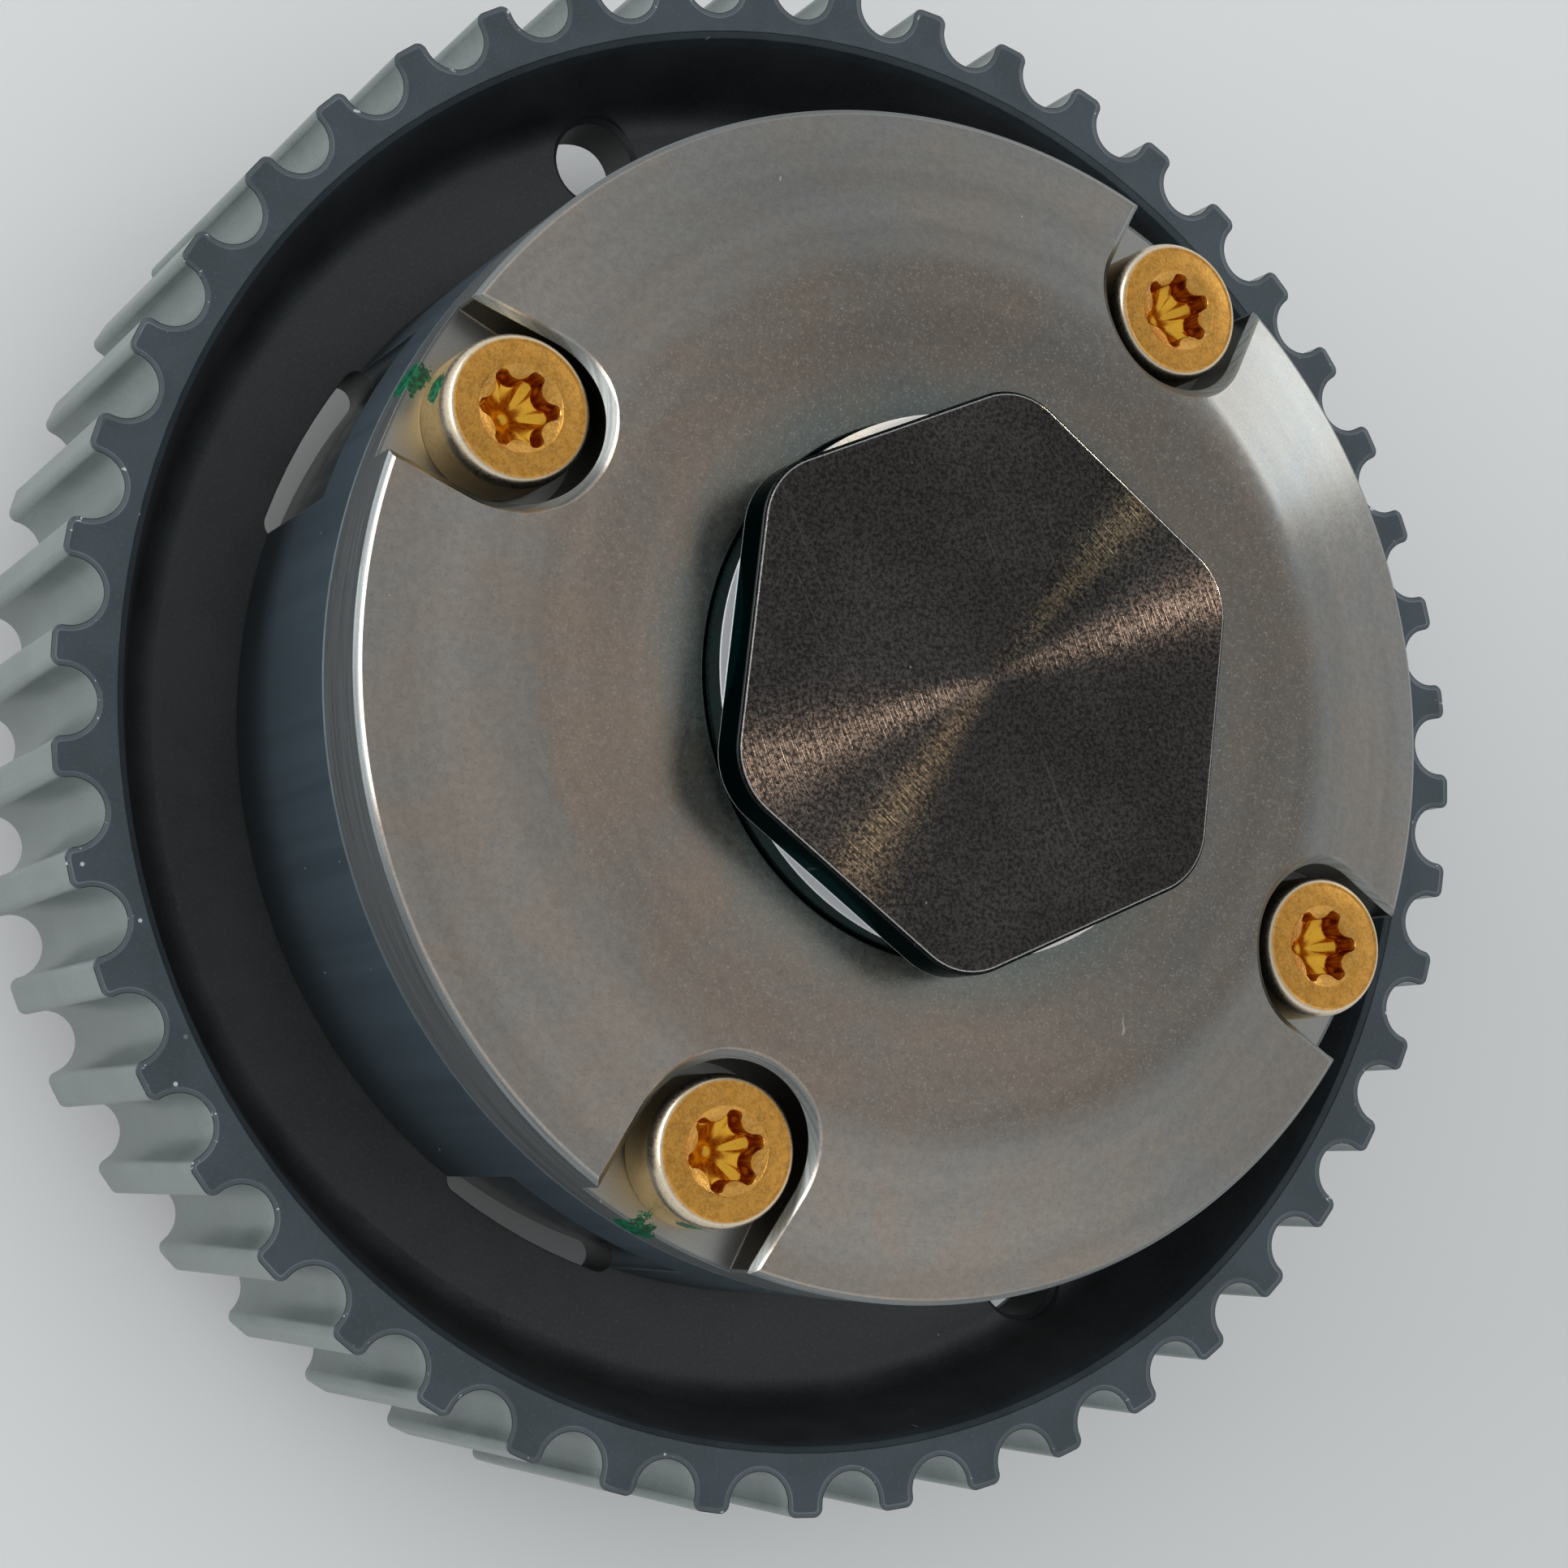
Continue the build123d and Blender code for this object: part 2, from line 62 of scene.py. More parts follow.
# Places in metres, and angles in degrees from +X, as in the part's source.
RIM_LOW, RIM_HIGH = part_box("belt_pulley")
COVER_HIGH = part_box("front_cover")[1]
PLUG_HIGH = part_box("hex_plug")[1]
SCREW_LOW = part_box("cover_screws")[0]
STATOR_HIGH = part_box("stator")[1]
DOWEL_LOW, DOWEL_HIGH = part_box("cover_dowel")
SCREW_CIRCLE = 0.0374
SCREW_ANGLES = (160.0, 250.0, 340.0, 64.0)
SOCKET_TURNS = (8.0, 22.0, 12.0, 30.0)

# The cover: its bore, the chamfer at its upper edge, its broken edges, and half the width of the soft bend
# between its flat middle and the sloping ring.
COVER_RADIUS = COVER_HIGH.x
COVER_BORE = 0.01605
COVER_EDGE = 0.0005
COVER_BURR = 0.0002
COVER_BEND = 0.0016

# The pockets: how far they reach outward from the screw, and how far each one lies to the side of its screw.
POCKET_FLOOR = COVER_HIGH.z - 0.0036
POCKET_REACH = 0.012
POCKET_SHIFTS = (0.0004, 0.0, 0.0, 0.0)
SCREW_HOLE = 0.0031
DOWEL_CLEARANCE = 0.00002

# The lock pin's spring, which gives way by the pin's lift of 1.2 mm.
SPRING_WIRE = 0.0005
SPRING_TURNS = 6

# In millimetres: the belt teeth's outline, the rim, the hexagon and the pitch of its plug's thread, the circles of
# the six-lobe socket, and the paint marks on the cover.
TOOTH_ANGLE = 5.9
GAP_CENTRE = 59.55
GAP_RADIUS = 2.45
ROOT_RADIUS = 57.0
TIP_RADIUS = 60.43
RIM_BORE = 55.0
RIM_SETBACK = 8.5
HEXAGON_HEIGHT = 3.2
HEXAGON_INNER = 18.9
PLUG_THREAD = 1.5
LOBE_PLACE, LOBE_RADIUS = 2.2, 0.7
RIDGE_PLACE, RIDGE_RADIUS = 3.09, 1.02
COVER_PAINT = ((-41.3, 14.8, 47.2), (-16.0, -41.0, 46.9))

# The camera that took the photograph: its place, its turn in degrees, and its focal length and the picture's width,
# both in picture points.
CAMERA_PLACE = (-0.10173, -0.04842, 0.24538)
CAMERA_TURN = (7.188, -26.217, 7.695)
FOCAL_LENGTH = 3767
PICTURE_WIDTH = 1932
SENSOR = 36.0


def length(name, description, default):
    """A length in metres."""
    return FloatProperty(name=name, description=description, default=default, min=0.0, unit="LENGTH", precision=5)


def share(name, description, default, top=1.0):
    """A plain factor."""
    return FloatProperty(name=name, description=description, default=default, min=0.0, max=top, subtype="FACTOR")


def colour(name, description, default):
    """A colour in linear light."""
    return FloatVectorProperty(name=name, description=description, default=default, size=3, min=0.0, max=1.0,
                               subtype="COLOR")


class PulleySettings(PropertyGroup):
    """Steam-treated sintered steel of the belt pulley and the drum."""
    face_colour: colour("Rim face", "Blue-grey of the rim's front face", (0.06, 0.078, 0.09))
    # Partly a painted sheen: the teeth's green-grey is lighter than the rim face partly in its own tone and partly as
    # painted sheen.
    tooth_colour_and_sheen: colour("Teeth", "Green-grey of the teeth where the belt runs", (0.19, 0.222, 0.22))
    web_colour: colour("Web", "Brownish black of the pressed web", (0.053, 0.056, 0.056))
    drum_colour: colour("Drum", "Blue-black of the drum between the web and the cover", (0.04, 0.057, 0.07))
    worn_colour: colour("Bare metal", "Bare metal in nicks on the teeth", (0.62, 0.64, 0.67))
    dust_colour: colour("Dust", "Pale dust and lint", (0.5, 0.52, 0.52))
    edge_band: length("Tooth edge", "Width of the pressed edge along the teeth", 0.00036)
    tooth_count: IntProperty(name="Teeth", description="Teeth on the belt rim", default=48, min=3)


class CoverSettings(PropertyGroup):
    """Turned steel cover and the hexagon plug."""
    outer_colour: colour("Turned ring", "Warm grey of the sloping ring", (0.27, 0.258, 0.242))
    inner_colour: colour("Matte ring", "Warm grey of the grainy middle of the cover", (0.235, 0.208, 0.184))
    pocket_colour: colour("Pockets", "Milled grey of the pockets' floors and walls", (0.32, 0.315, 0.295))
    side_colour: colour("Cover side", "Darker blue-grey of the cover's side", (0.15, 0.165, 0.17))
    plug_colour: colour("Plug", "Blackened steel of the hexagon", (0.047, 0.043, 0.041))
    raised: length("Raised middle", "Height of the flat middle above the cover's edge", 0.0031)
    flat_radius: length("Flat radius", "Radius of the flat middle, where the sloping ring begins", 0.032)
    collar_bore: length("Collar bore", "Radius of the opening round the plug's collar", 0.01976)
    pocket_radius: length("Pocket radius", "Radius of the pockets' walls round the screws", 0.00635)
    pocket_chamfer: length("Pocket chamfer", "Chamfer round the pockets' upper edge", 0.00066)
    groove_pitch: length("Turning marks", "Distance between turning marks", 0.00016)


class ScrewSettings(PropertyGroup):
    """Six-lobe socket screws that hold the cover."""
    head_radius: length("Head radius", "Outer radius of the head", 0.0054)
    head_height: length("Head height", "From the seat to the top of the head", 0.00558)
    shoulder: length("Shoulder", "Width of the rounding at the head's upper edge", 0.00055)
    shoulder_drop: length("Shoulder drop", "Height of the rounding at the head's upper edge", 0.0013)
    entry_radius: length("Socket entry", "Radius of the shallow cone at the mouth of the socket", 0.0031)
    socket_depth: length("Socket depth", "From the top of the head to the socket's floor", 0.0026)
    shank_radius: length("Shank radius", "Outer radius of the thread", 0.003)
    thread_pitch: length("Thread pitch", "Distance between two turns of the thread", 0.001)
    thread_depth: length("Thread depth", "From the crest to the root of the thread", 0.00054)
    zinc: colour("Zinc", "Yellow zinc plating", (0.7, 0.33, 0.058))
    # Painted shade: this dark zinc stands in for shade on the socket's walls.
    socket_shade_zinc: colour("Deep zinc", "Thick plating that gathers in the socket", (0.36, 0.11, 0.012))
    pale: colour("Pale zinc", "Thin plating on the shoulder and the side of the head", (0.72, 0.64, 0.5))


class PaintSettings(PropertyGroup):
    """Green paint marks that the assembler left at two screws."""
    green: colour("Paint", "Green marking paint", (0.0, 0.11, 0.045))
    dab: length("Dab", "Length of one dab of paint", 0.0032)


class StageSettings(PropertyGroup):
    """Floor, light and camera."""
    floor_colour: colour("Floor", "Pale floor", (0.86, 0.865, 0.86))
    sky: share("Sky", "Strength of the plain light overhead", 0.5, 5.0)
    horizon: share("Horizon", "Strength of the plain light from the sides", 1.0, 5.0)
    strip: FloatProperty(name="Ceiling strip", description="Power of the warm strip overhead", default=2.6, min=0.0,
                         unit="POWER")
    window: FloatProperty(name="Window", description="Power of the small soft box at the right", default=0.27, min=0.0,
                          unit="POWER")
    fill: FloatProperty(name="Fill", description="Power of the low soft box at the left", default=3.2, min=0.0,
                        unit="POWER")


class PhaserSettings(PropertyGroup):
    """All settings of the part."""
    pulley: PointerProperty(type=PulleySettings, name="Pulley", description="Pulley and drum")
    cover: PointerProperty(type=CoverSettings, name="Cover", description="Cover and plug")
    screws: PointerProperty(type=ScrewSettings, name="Screws", description="Cover screws")
    paint: PointerProperty(type=PaintSettings, name="Paint", description="Paint marks")
    stage: PointerProperty(type=StageSettings, name="Stage", description="Floor, light and camera")


class Finish:
    """A procedural material, built up node by node. Its places are in millimetres."""

    def __init__(self, name, **sockets):
        self.material = bpy.data.materials.new(name)
        self.material.use_nodes = True
        self.tree = self.material.node_tree
        self.shader = self.tree.nodes["Principled BSDF"]
        for socket, value in sockets.items():
            self.shader.inputs[socket.replace("_", " ")].default_value = value
        coordinates = self.add("ShaderNodeTexCoord")
        self.place = self.vector("MULTIPLY", coordinates.outputs["Object"], (1000, 1000, 1000))
        self.x, self.y, self.z = self.split(self.place)
        flat = self.join(self.x, self.y, 0.0)
        self.radius = self.vector("LENGTH", flat)
        self.angle = self.math("ARCTAN2", self.y, self.x)

    def add(self, kind, inputs=(), **settings):
        node = self.tree.nodes.new(kind)
        for name, value in settings.items():
            setattr(node, name, value)
        for name, value in dict(inputs).items():
            self.feed(node.inputs[name], value)
        return node

    def feed(self, socket, value):
        if isinstance(value, bpy.types.NodeSocket):
            self.tree.links.new(value, socket)
        elif socket.type == "RGBA" and len(value) == 3:
            socket.default_value = (*value, 1.0)
        else:
            socket.default_value = value

    def math(self, operation, *values, clamp=False):
        node = self.add("ShaderNodeMath", operation=operation, use_clamp=clamp)
        for socket, value in zip(node.inputs, values):
            self.feed(socket, value)
        return node.outputs[0]

    def vector(self, operation, *values):
        node = self.add("ShaderNodeVectorMath", operation=operation)
        for socket, value in zip(node.inputs, values):
            self.feed(socket, value)
        return node.outputs["Value" if operation in ("LENGTH", "DOT_PRODUCT") else "Vector"]

    def times(self, first, second):
        """Where both masks hold, or a mask at this strength."""
        return self.math("MULTIPLY", first, second)

    def rest(self, mask):
        """Where the mask doesn't hold."""
        return self.math("SUBTRACT", 1.0, mask)

    def tinted(self, base, factor, where=None):
        """A colour made lighter, darker or of another tint, all over or where a mask holds."""
        if where is not None:
            factor = self.mix(where, (1.0, 1.0, 1.0), factor)
        return self.vector("MULTIPLY", base, factor)

    def split(self, vector):
        return self.add("ShaderNodeSeparateXYZ", {"Vector": vector}).outputs

    def join(self, x, y, z):
        return self.add("ShaderNodeCombineXYZ", {"X": x, "Y": y, "Z": z}).outputs[0]

    def ramp(self, value, low, high, to_low=0.0, to_high=1.0, smooth=True):
        """Map value from low..high to to_low..to_high, held at both ends."""
        node = self.add("ShaderNodeMapRange", {"Value": value, "From Min": low, "From Max": high, "To Min": to_low,
                                               "To Max": to_high})
        node.interpolation_type = "SMOOTHSTEP" if smooth else "LINEAR"
        return node.outputs["Result"]

    def band(self, value, low, high, soft):
        """One between low and high, and nought outside."""
        return self.times(self.ramp(value, low - soft, low + soft), self.ramp(value, high + soft, high - soft))

    def noise(self, place, scale, detail=2.0, roughness=0.5, distortion=0.0):
        node = self.add("ShaderNodeTexNoise", {"Vector": place, "Scale": scale, "Detail": detail,
                                               "Roughness": roughness, "Distortion": distortion})
        return node.outputs["Fac"]

    def mix(self, factor, low, high):
        node = self.add("ShaderNodeMix", data_type="RGBA")
        self.feed(node.inputs[0], factor)
        self.feed(node.inputs[6], low)
        self.feed(node.inputs[7], high)
        return node.outputs[2]

    def bump(self, height, distance, strength=1.0, normal=None):
        node = self.add("ShaderNodeBump", {"Height": height, "Distance": distance, "Strength": strength})
        if normal is not None:
            self.feed(node.inputs["Normal"], normal)
        return node.outputs["Normal"]

    def soft_edges(self, radius, samples=4):
        """Normals as if every sharp edge were rounded, and how much of an edge each spot is."""
        rounded = self.add("ShaderNodeBevel", {"Radius": radius}, samples=samples).outputs["Normal"]
        plain = self.add("ShaderNodeNewGeometry").outputs["Normal"]
        edge = self.math("SUBTRACT", 1.0, self.vector("DOT_PRODUCT", rounded, plain), clamp=True)
        return rounded, edge

    def turned(self, across, around):
        """Places for marks that run round the axis: how many per millimetre across, how many round a turn."""
        return self.join(self.times(self.radius, across),
                         self.times(self.math("COSINE", self.angle), around),
                         self.times(self.math("SINE", self.angle), around))

    def specks(self, place, scale, size, share_of_cells):
        """Scattered dots, one in some of the cells."""
        cells = self.add("ShaderNodeTexVoronoi", {"Vector": place, "Scale": scale})
        dot = self.ramp(cells.outputs["Distance"], size, size * 0.6)
        chosen = self.ramp(self.split(cells.outputs["Color"])[0], share_of_cells, share_of_cells - 0.01)
        return self.times(dot, chosen)

    def lint(self, share_of_cells):
        """Short pale fibres and dust that lie on a surface."""
        drift = self.add("ShaderNodeTexNoise", {"Vector": self.place, "Scale": 0.5, "Detail": 1.0}).outputs["Color"]
        bent = self.vector("ADD", self.place, self.vector("MULTIPLY", drift, (2, 2, 2)))
        fibres = self.specks(self.vector("MULTIPLY", bent, (0.6, 0.16, 0.25)), 1.0, 0.07, share_of_cells * 2)
        dots = self.specks(self.place, 0.5, 0.05, share_of_cells * 2)
        return self.math("MAXIMUM", fibres, dots)

    def set(self, **sockets):
        """Feed the shader's sockets."""
        for socket, value in sockets.items():
            self.feed(self.shader.inputs[socket.replace("_", " ")], value)

    def put(self, *nodes):
        """Give CAD nodes this finish."""
        for name in nodes:
            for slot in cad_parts[name].material_slots:
                slot.material = self.material


def tooth_outline(finish, teeth):
    """Distance into the metal from the outline of the teeth, in the plane of a rim face."""
    step = 2 * pi / teeth
    folded = finish.math("PINGPONG", finish.math("SUBTRACT", finish.angle, radians(TOOTH_ANGLE) + step / 2), step / 2)
    across = finish.times(finish.radius, finish.math("SINE", folded))
    along = finish.times(finish.radius, finish.math("COSINE", folded))
    to_gap = finish.vector("LENGTH", finish.join(across, finish.math("SUBTRACT", along, GAP_CENTRE), 0.0))
    return finish.math("SMOOTH_MIN", finish.math("SUBTRACT", to_gap, GAP_RADIUS),
                       finish.math("SUBTRACT", TIP_RADIUS, finish.radius), 0.6)


def pulley_finish(settings):
    """Steam-treated steel: pale teeth, a pressed and knocked edge round each tooth, and a black web."""
    finish = Finish("steam_treated_steel", Metallic=0.55, IOR=1.75)
    radius, z = finish.radius, finish.z
    grain = finish.noise(finish.place, 3.5, 3.0, 0.7)
    cloud = finish.noise(finish.place, 0.16, 3.0, 0.6)
    low, high = RIM_LOW.z * 1000 + RIM_SETBACK, RIM_HIGH.z * 1000
    on_face = finish.math("ADD", finish.ramp(z, high - 0.05, high - 0.02), finish.ramp(z, low + 0.05, low + 0.02))
    outside = finish.times(finish.ramp(radius, ROOT_RADIUS - 0.1, ROOT_RADIUS), finish.rest(on_face))
    inside = finish.times(finish.ramp(radius, RIM_BORE, RIM_BORE - 0.2), finish.ramp(z, high - 0.3, high - 0.6))

    # Three tones: the rim's face, the web inside it and the teeth outside, whose lighter green-grey is partly their own
    # tone and partly a painted sheen.
    base = finish.mix(inside, settings.face_colour, settings.web_colour)
    base = finish.mix(outside, base, settings.tooth_colour_and_sheen)
    base = finish.tinted(base, finish.ramp(cloud, 0.3, 0.7, 0.86, 1.14))
    base = finish.mix(finish.ramp(grain, 0.5, 0.85), base, Vector(settings.face_colour) * 1.5)

    # The pressed edge along the teeth, lightened as a painted highlight with a brighter painted highlight line near its
    # inner border, its dark outline, and knocks and chips down to bare metal.
    inward = tooth_outline(finish, settings.tooth_count)
    width = settings.edge_band * 1000
    band = finish.times(finish.ramp(inward, width, width * 0.85), on_face)
    painted_highlight_line = finish.times(finish.band(inward, width * 0.9, width * 1.15, width * 0.1), on_face)
    line = finish.times(finish.ramp(inward, 0.09, 0.02), on_face)
    knocks = finish.noise(finish.place, 1.1, 3.0, 0.75)
    nick = finish.times(finish.ramp(knocks, 0.665, 0.7), finish.times(finish.ramp(inward, width * 1.5, width), on_face))
    # Painted highlight: the pressed edge band lightened, and a brighter line near its inner border.
    base = finish.mix(finish.times(band, 0.25), base, (0.17, 0.19, 0.21))
    base = finish.mix(finish.times(painted_highlight_line, finish.ramp(cloud, 0.35, 0.65, 0.1, 0.55)), base, (0.27, 0.3, 0.33))
    base = finish.mix(line, base, (0.006, 0.008, 0.01))
    chips = finish.times(finish.specks(finish.place, 0.45, 0.09, 0.12), on_face)
    base = finish.mix(finish.math("MAXIMUM", nick, chips), base, settings.worn_colour)
    base = finish.mix(finish.times(finish.lint(0.03), 0.5), base, settings.dust_colour)

    rounded, _ = finish.soft_edges(0.00016)
    height = finish.times(finish.ramp(inward, 0.0, width, smooth=False), on_face)
    normal = finish.bump(height, 0.00012, 1.0, rounded)
    normal = finish.bump(grain, 0.000012, 0.5, normal)
    rough = finish.ramp(cloud, 0.3, 0.7, 0.42, 0.5)
    rough = finish.math("SUBTRACT", rough, finish.times(outside, 0.12))
    finish.set(Base_Color=base, Roughness=rough, Normal=normal)
    finish.put("belt_pulley")


def drum_finish(settings):
    """Blue-black steel with faint turning streaks, rubbed edges and dust."""
    finish = Finish("drum_steel", Metallic=0.3, IOR=1.6)
    grain = finish.noise(finish.place, 4.0, 3.0, 0.7)
    streaks = finish.noise(finish.turned(0.05, 24.0), 1.0, 3.0)
    base = finish.mix(streaks, settings.drum_colour, Vector(settings.drum_colour) * 1.35)
    base = finish.mix(finish.ramp(grain, 0.55, 0.85), base, Vector(settings.drum_colour) * 1.9)
    rounded, edge = finish.soft_edges(0.0002)
    base = finish.mix(finish.times(finish.ramp(edge, 0.02, 0.3), 0.6), base, (0.3, 0.32, 0.34))
    base = finish.mix(finish.times(finish.lint(0.1), 0.75), base, settings.dust_colour)
    finish.set(Base_Color=base, Roughness=finish.ramp(streaks, 0.3, 0.7, 0.36, 0.46),
               Normal=finish.bump(grain, 0.000012, 0.4, rounded))
    finish.put("stator")


def paint_dab(finish, centre, size):
    """A brushed dab of paint with a ragged edge round this place, in millimetres."""
    ragged = finish.noise(finish.vector("MULTIPLY", finish.place, (1.6, 1.6, 0.9)), 1.0, 3.0, 0.7)
    away = finish.vector("LENGTH", finish.vector("MULTIPLY", finish.vector("SUBTRACT", finish.place, centre),
                                                 (1.0 / size[0], 1.0 / size[1], 1.0 / size[2])))
    away = finish.math("ADD", away, finish.ramp(ragged, 0.25, 0.75, -0.35, 0.35, smooth=False))
    return finish.ramp(away, 1.05, 0.95)


def paint_tone(finish, paint):
    """Thin and thick green of the brushed paint."""
    thick = finish.noise(finish.place, 2.2, 2.0, 0.6)
    return finish.mix(finish.ramp(thick, 0.42, 0.62), Vector(paint.green) * 0.4, Vector(paint.green) * 1.5)


def smooth(mesh, sharp):
    """Shade smooth, but for the edges sharper than this angle in degrees."""
    for face in mesh.polygons:
        face.use_smooth = True
    mesh.set_sharp_from_angle(angle=radians(sharp))


def cover_height(settings, radius):
    """Height of the cover's face at this radius: flat, bent softly into the sloping ring."""
    past = radius - settings.flat_radius
    run = past if past > COVER_BEND else max(past + COVER_BEND, 0.0) ** 2 / (4 * COVER_BEND)
    fall = run / (COVER_RADIUS - COVER_EDGE - settings.flat_radius)
    return COVER_HIGH.z + settings.raised * (1.0 - min(fall, 1.0))


def cover_profile(settings):
    """Radius and height of the cover's corners: a flat middle on a sloping ring, in metres."""
    low, high = STATOR_HIGH.z, COVER_HIGH.z
    top = high + settings.raised
    bend = [settings.flat_radius + COVER_BEND * (1.0 - k / 4) for k in range(9)]
    return [(COVER_BORE, low), (COVER_RADIUS - COVER_BURR, low), (COVER_RADIUS, low + COVER_BURR),
            (COVER_RADIUS, high - COVER_EDGE), (COVER_RADIUS - COVER_EDGE, high),
            *((radius, cover_height(settings, radius)) for radius in bend),
            (settings.collar_bore + COVER_BURR, top), (settings.collar_bore, top - COVER_BURR),
            (settings.collar_bore, high), (COVER_BORE, high)]


def pocket_cutter(settings, angle, shift, count=120):
    """A pocket open at the cover's edge, chamfered above, with the hole of its screw below."""
    out = radians(angle)
    across = (-sin(out) * shift, cos(out) * shift)
    turns = [2 * pi * (k + 0.5) / count for k in range(count)]

    def ring(radius, height, reach=None):
        """Points round the screw, or round a pocket that runs out to this reach."""
        points = []
        for turn in turns:
            away = radius if reach is None or cos(turn) < 0 else min(radius / abs(sin(turn)), reach / cos(turn))
            points.append((SCREW_CIRCLE * cos(out) + away * cos(turn + out) + across[0],
                           SCREW_CIRCLE * sin(out) + away * sin(turn + out) + across[1], height))
        return points

    hole = [[(x - across[0], y - across[1], z) for x, y, z in ring(SCREW_HOLE, height)]
            for height in (POCKET_FLOOR, STATOR_HIGH.z - 0.001)]
    wall, chamfer, above = settings.pocket_radius, settings.pocket_chamfer, 0.002
    floor = ring(wall, POCKET_FLOOR, POCKET_REACH)
    lower = [(x, y, cover_height(settings, (x * x + y * y)**0.5) - chamfer) for x, y, _ in floor]
    upper = [(x, y, low[2] + chamfer + above)
             for (x, y, _), low in zip(ring(wall + chamfer + above, 0.0, POCKET_REACH + above), lower)]
    return [upper, lower, floor, *hole]


def cover_piece(settings, count=360):
    """The front cover, turned from its profile, with four screw pockets and the dowel's hole cut out."""
    turns = [2 * pi * k / count for k in range(count)]
    cover = mesh_from_rings("raised_cover", [[(r * cos(t), r * sin(t), z) for t in turns]
                                             for r, z in cover_profile(settings)], closed=True)
    dowel = (DOWEL_LOW + DOWEL_HIGH) / 2
    hole = (DOWEL_HIGH.x - DOWEL_LOW.x) / 2 + DOWEL_CLEARANCE
    cutters = [mesh_from_rings("cutter", pocket_cutter(settings, angle, shift))
               for angle, shift in zip(SCREW_ANGLES, POCKET_SHIFTS)]
    cutters.append(mesh_from_rings("cutter", [[(dowel.x + hole * cos(t), dowel.y + hole * sin(t), z)
                                               for t in turns[::8]]
                                              for z in (STATOR_HIGH.z - 0.001, DOWEL_HIGH.z + 0.0001)]))
    for cutter in cutters:
        cut = cover.modifiers.new("cut", "BOOLEAN")
        cut.operation, cut.solver, cut.object = "DIFFERENCE", "EXACT", cutter
    bpy.context.view_layer.update()
    mesh = bpy.data.meshes.new_from_object(cover.evaluated_get(bpy.context.evaluated_depsgraph_get()))
    cover.modifiers.clear()
    cover.data = mesh
    for cutter in cutters:
        bpy.data.objects.remove(cutter)
    smooth(mesh, 8.0)
    return cover


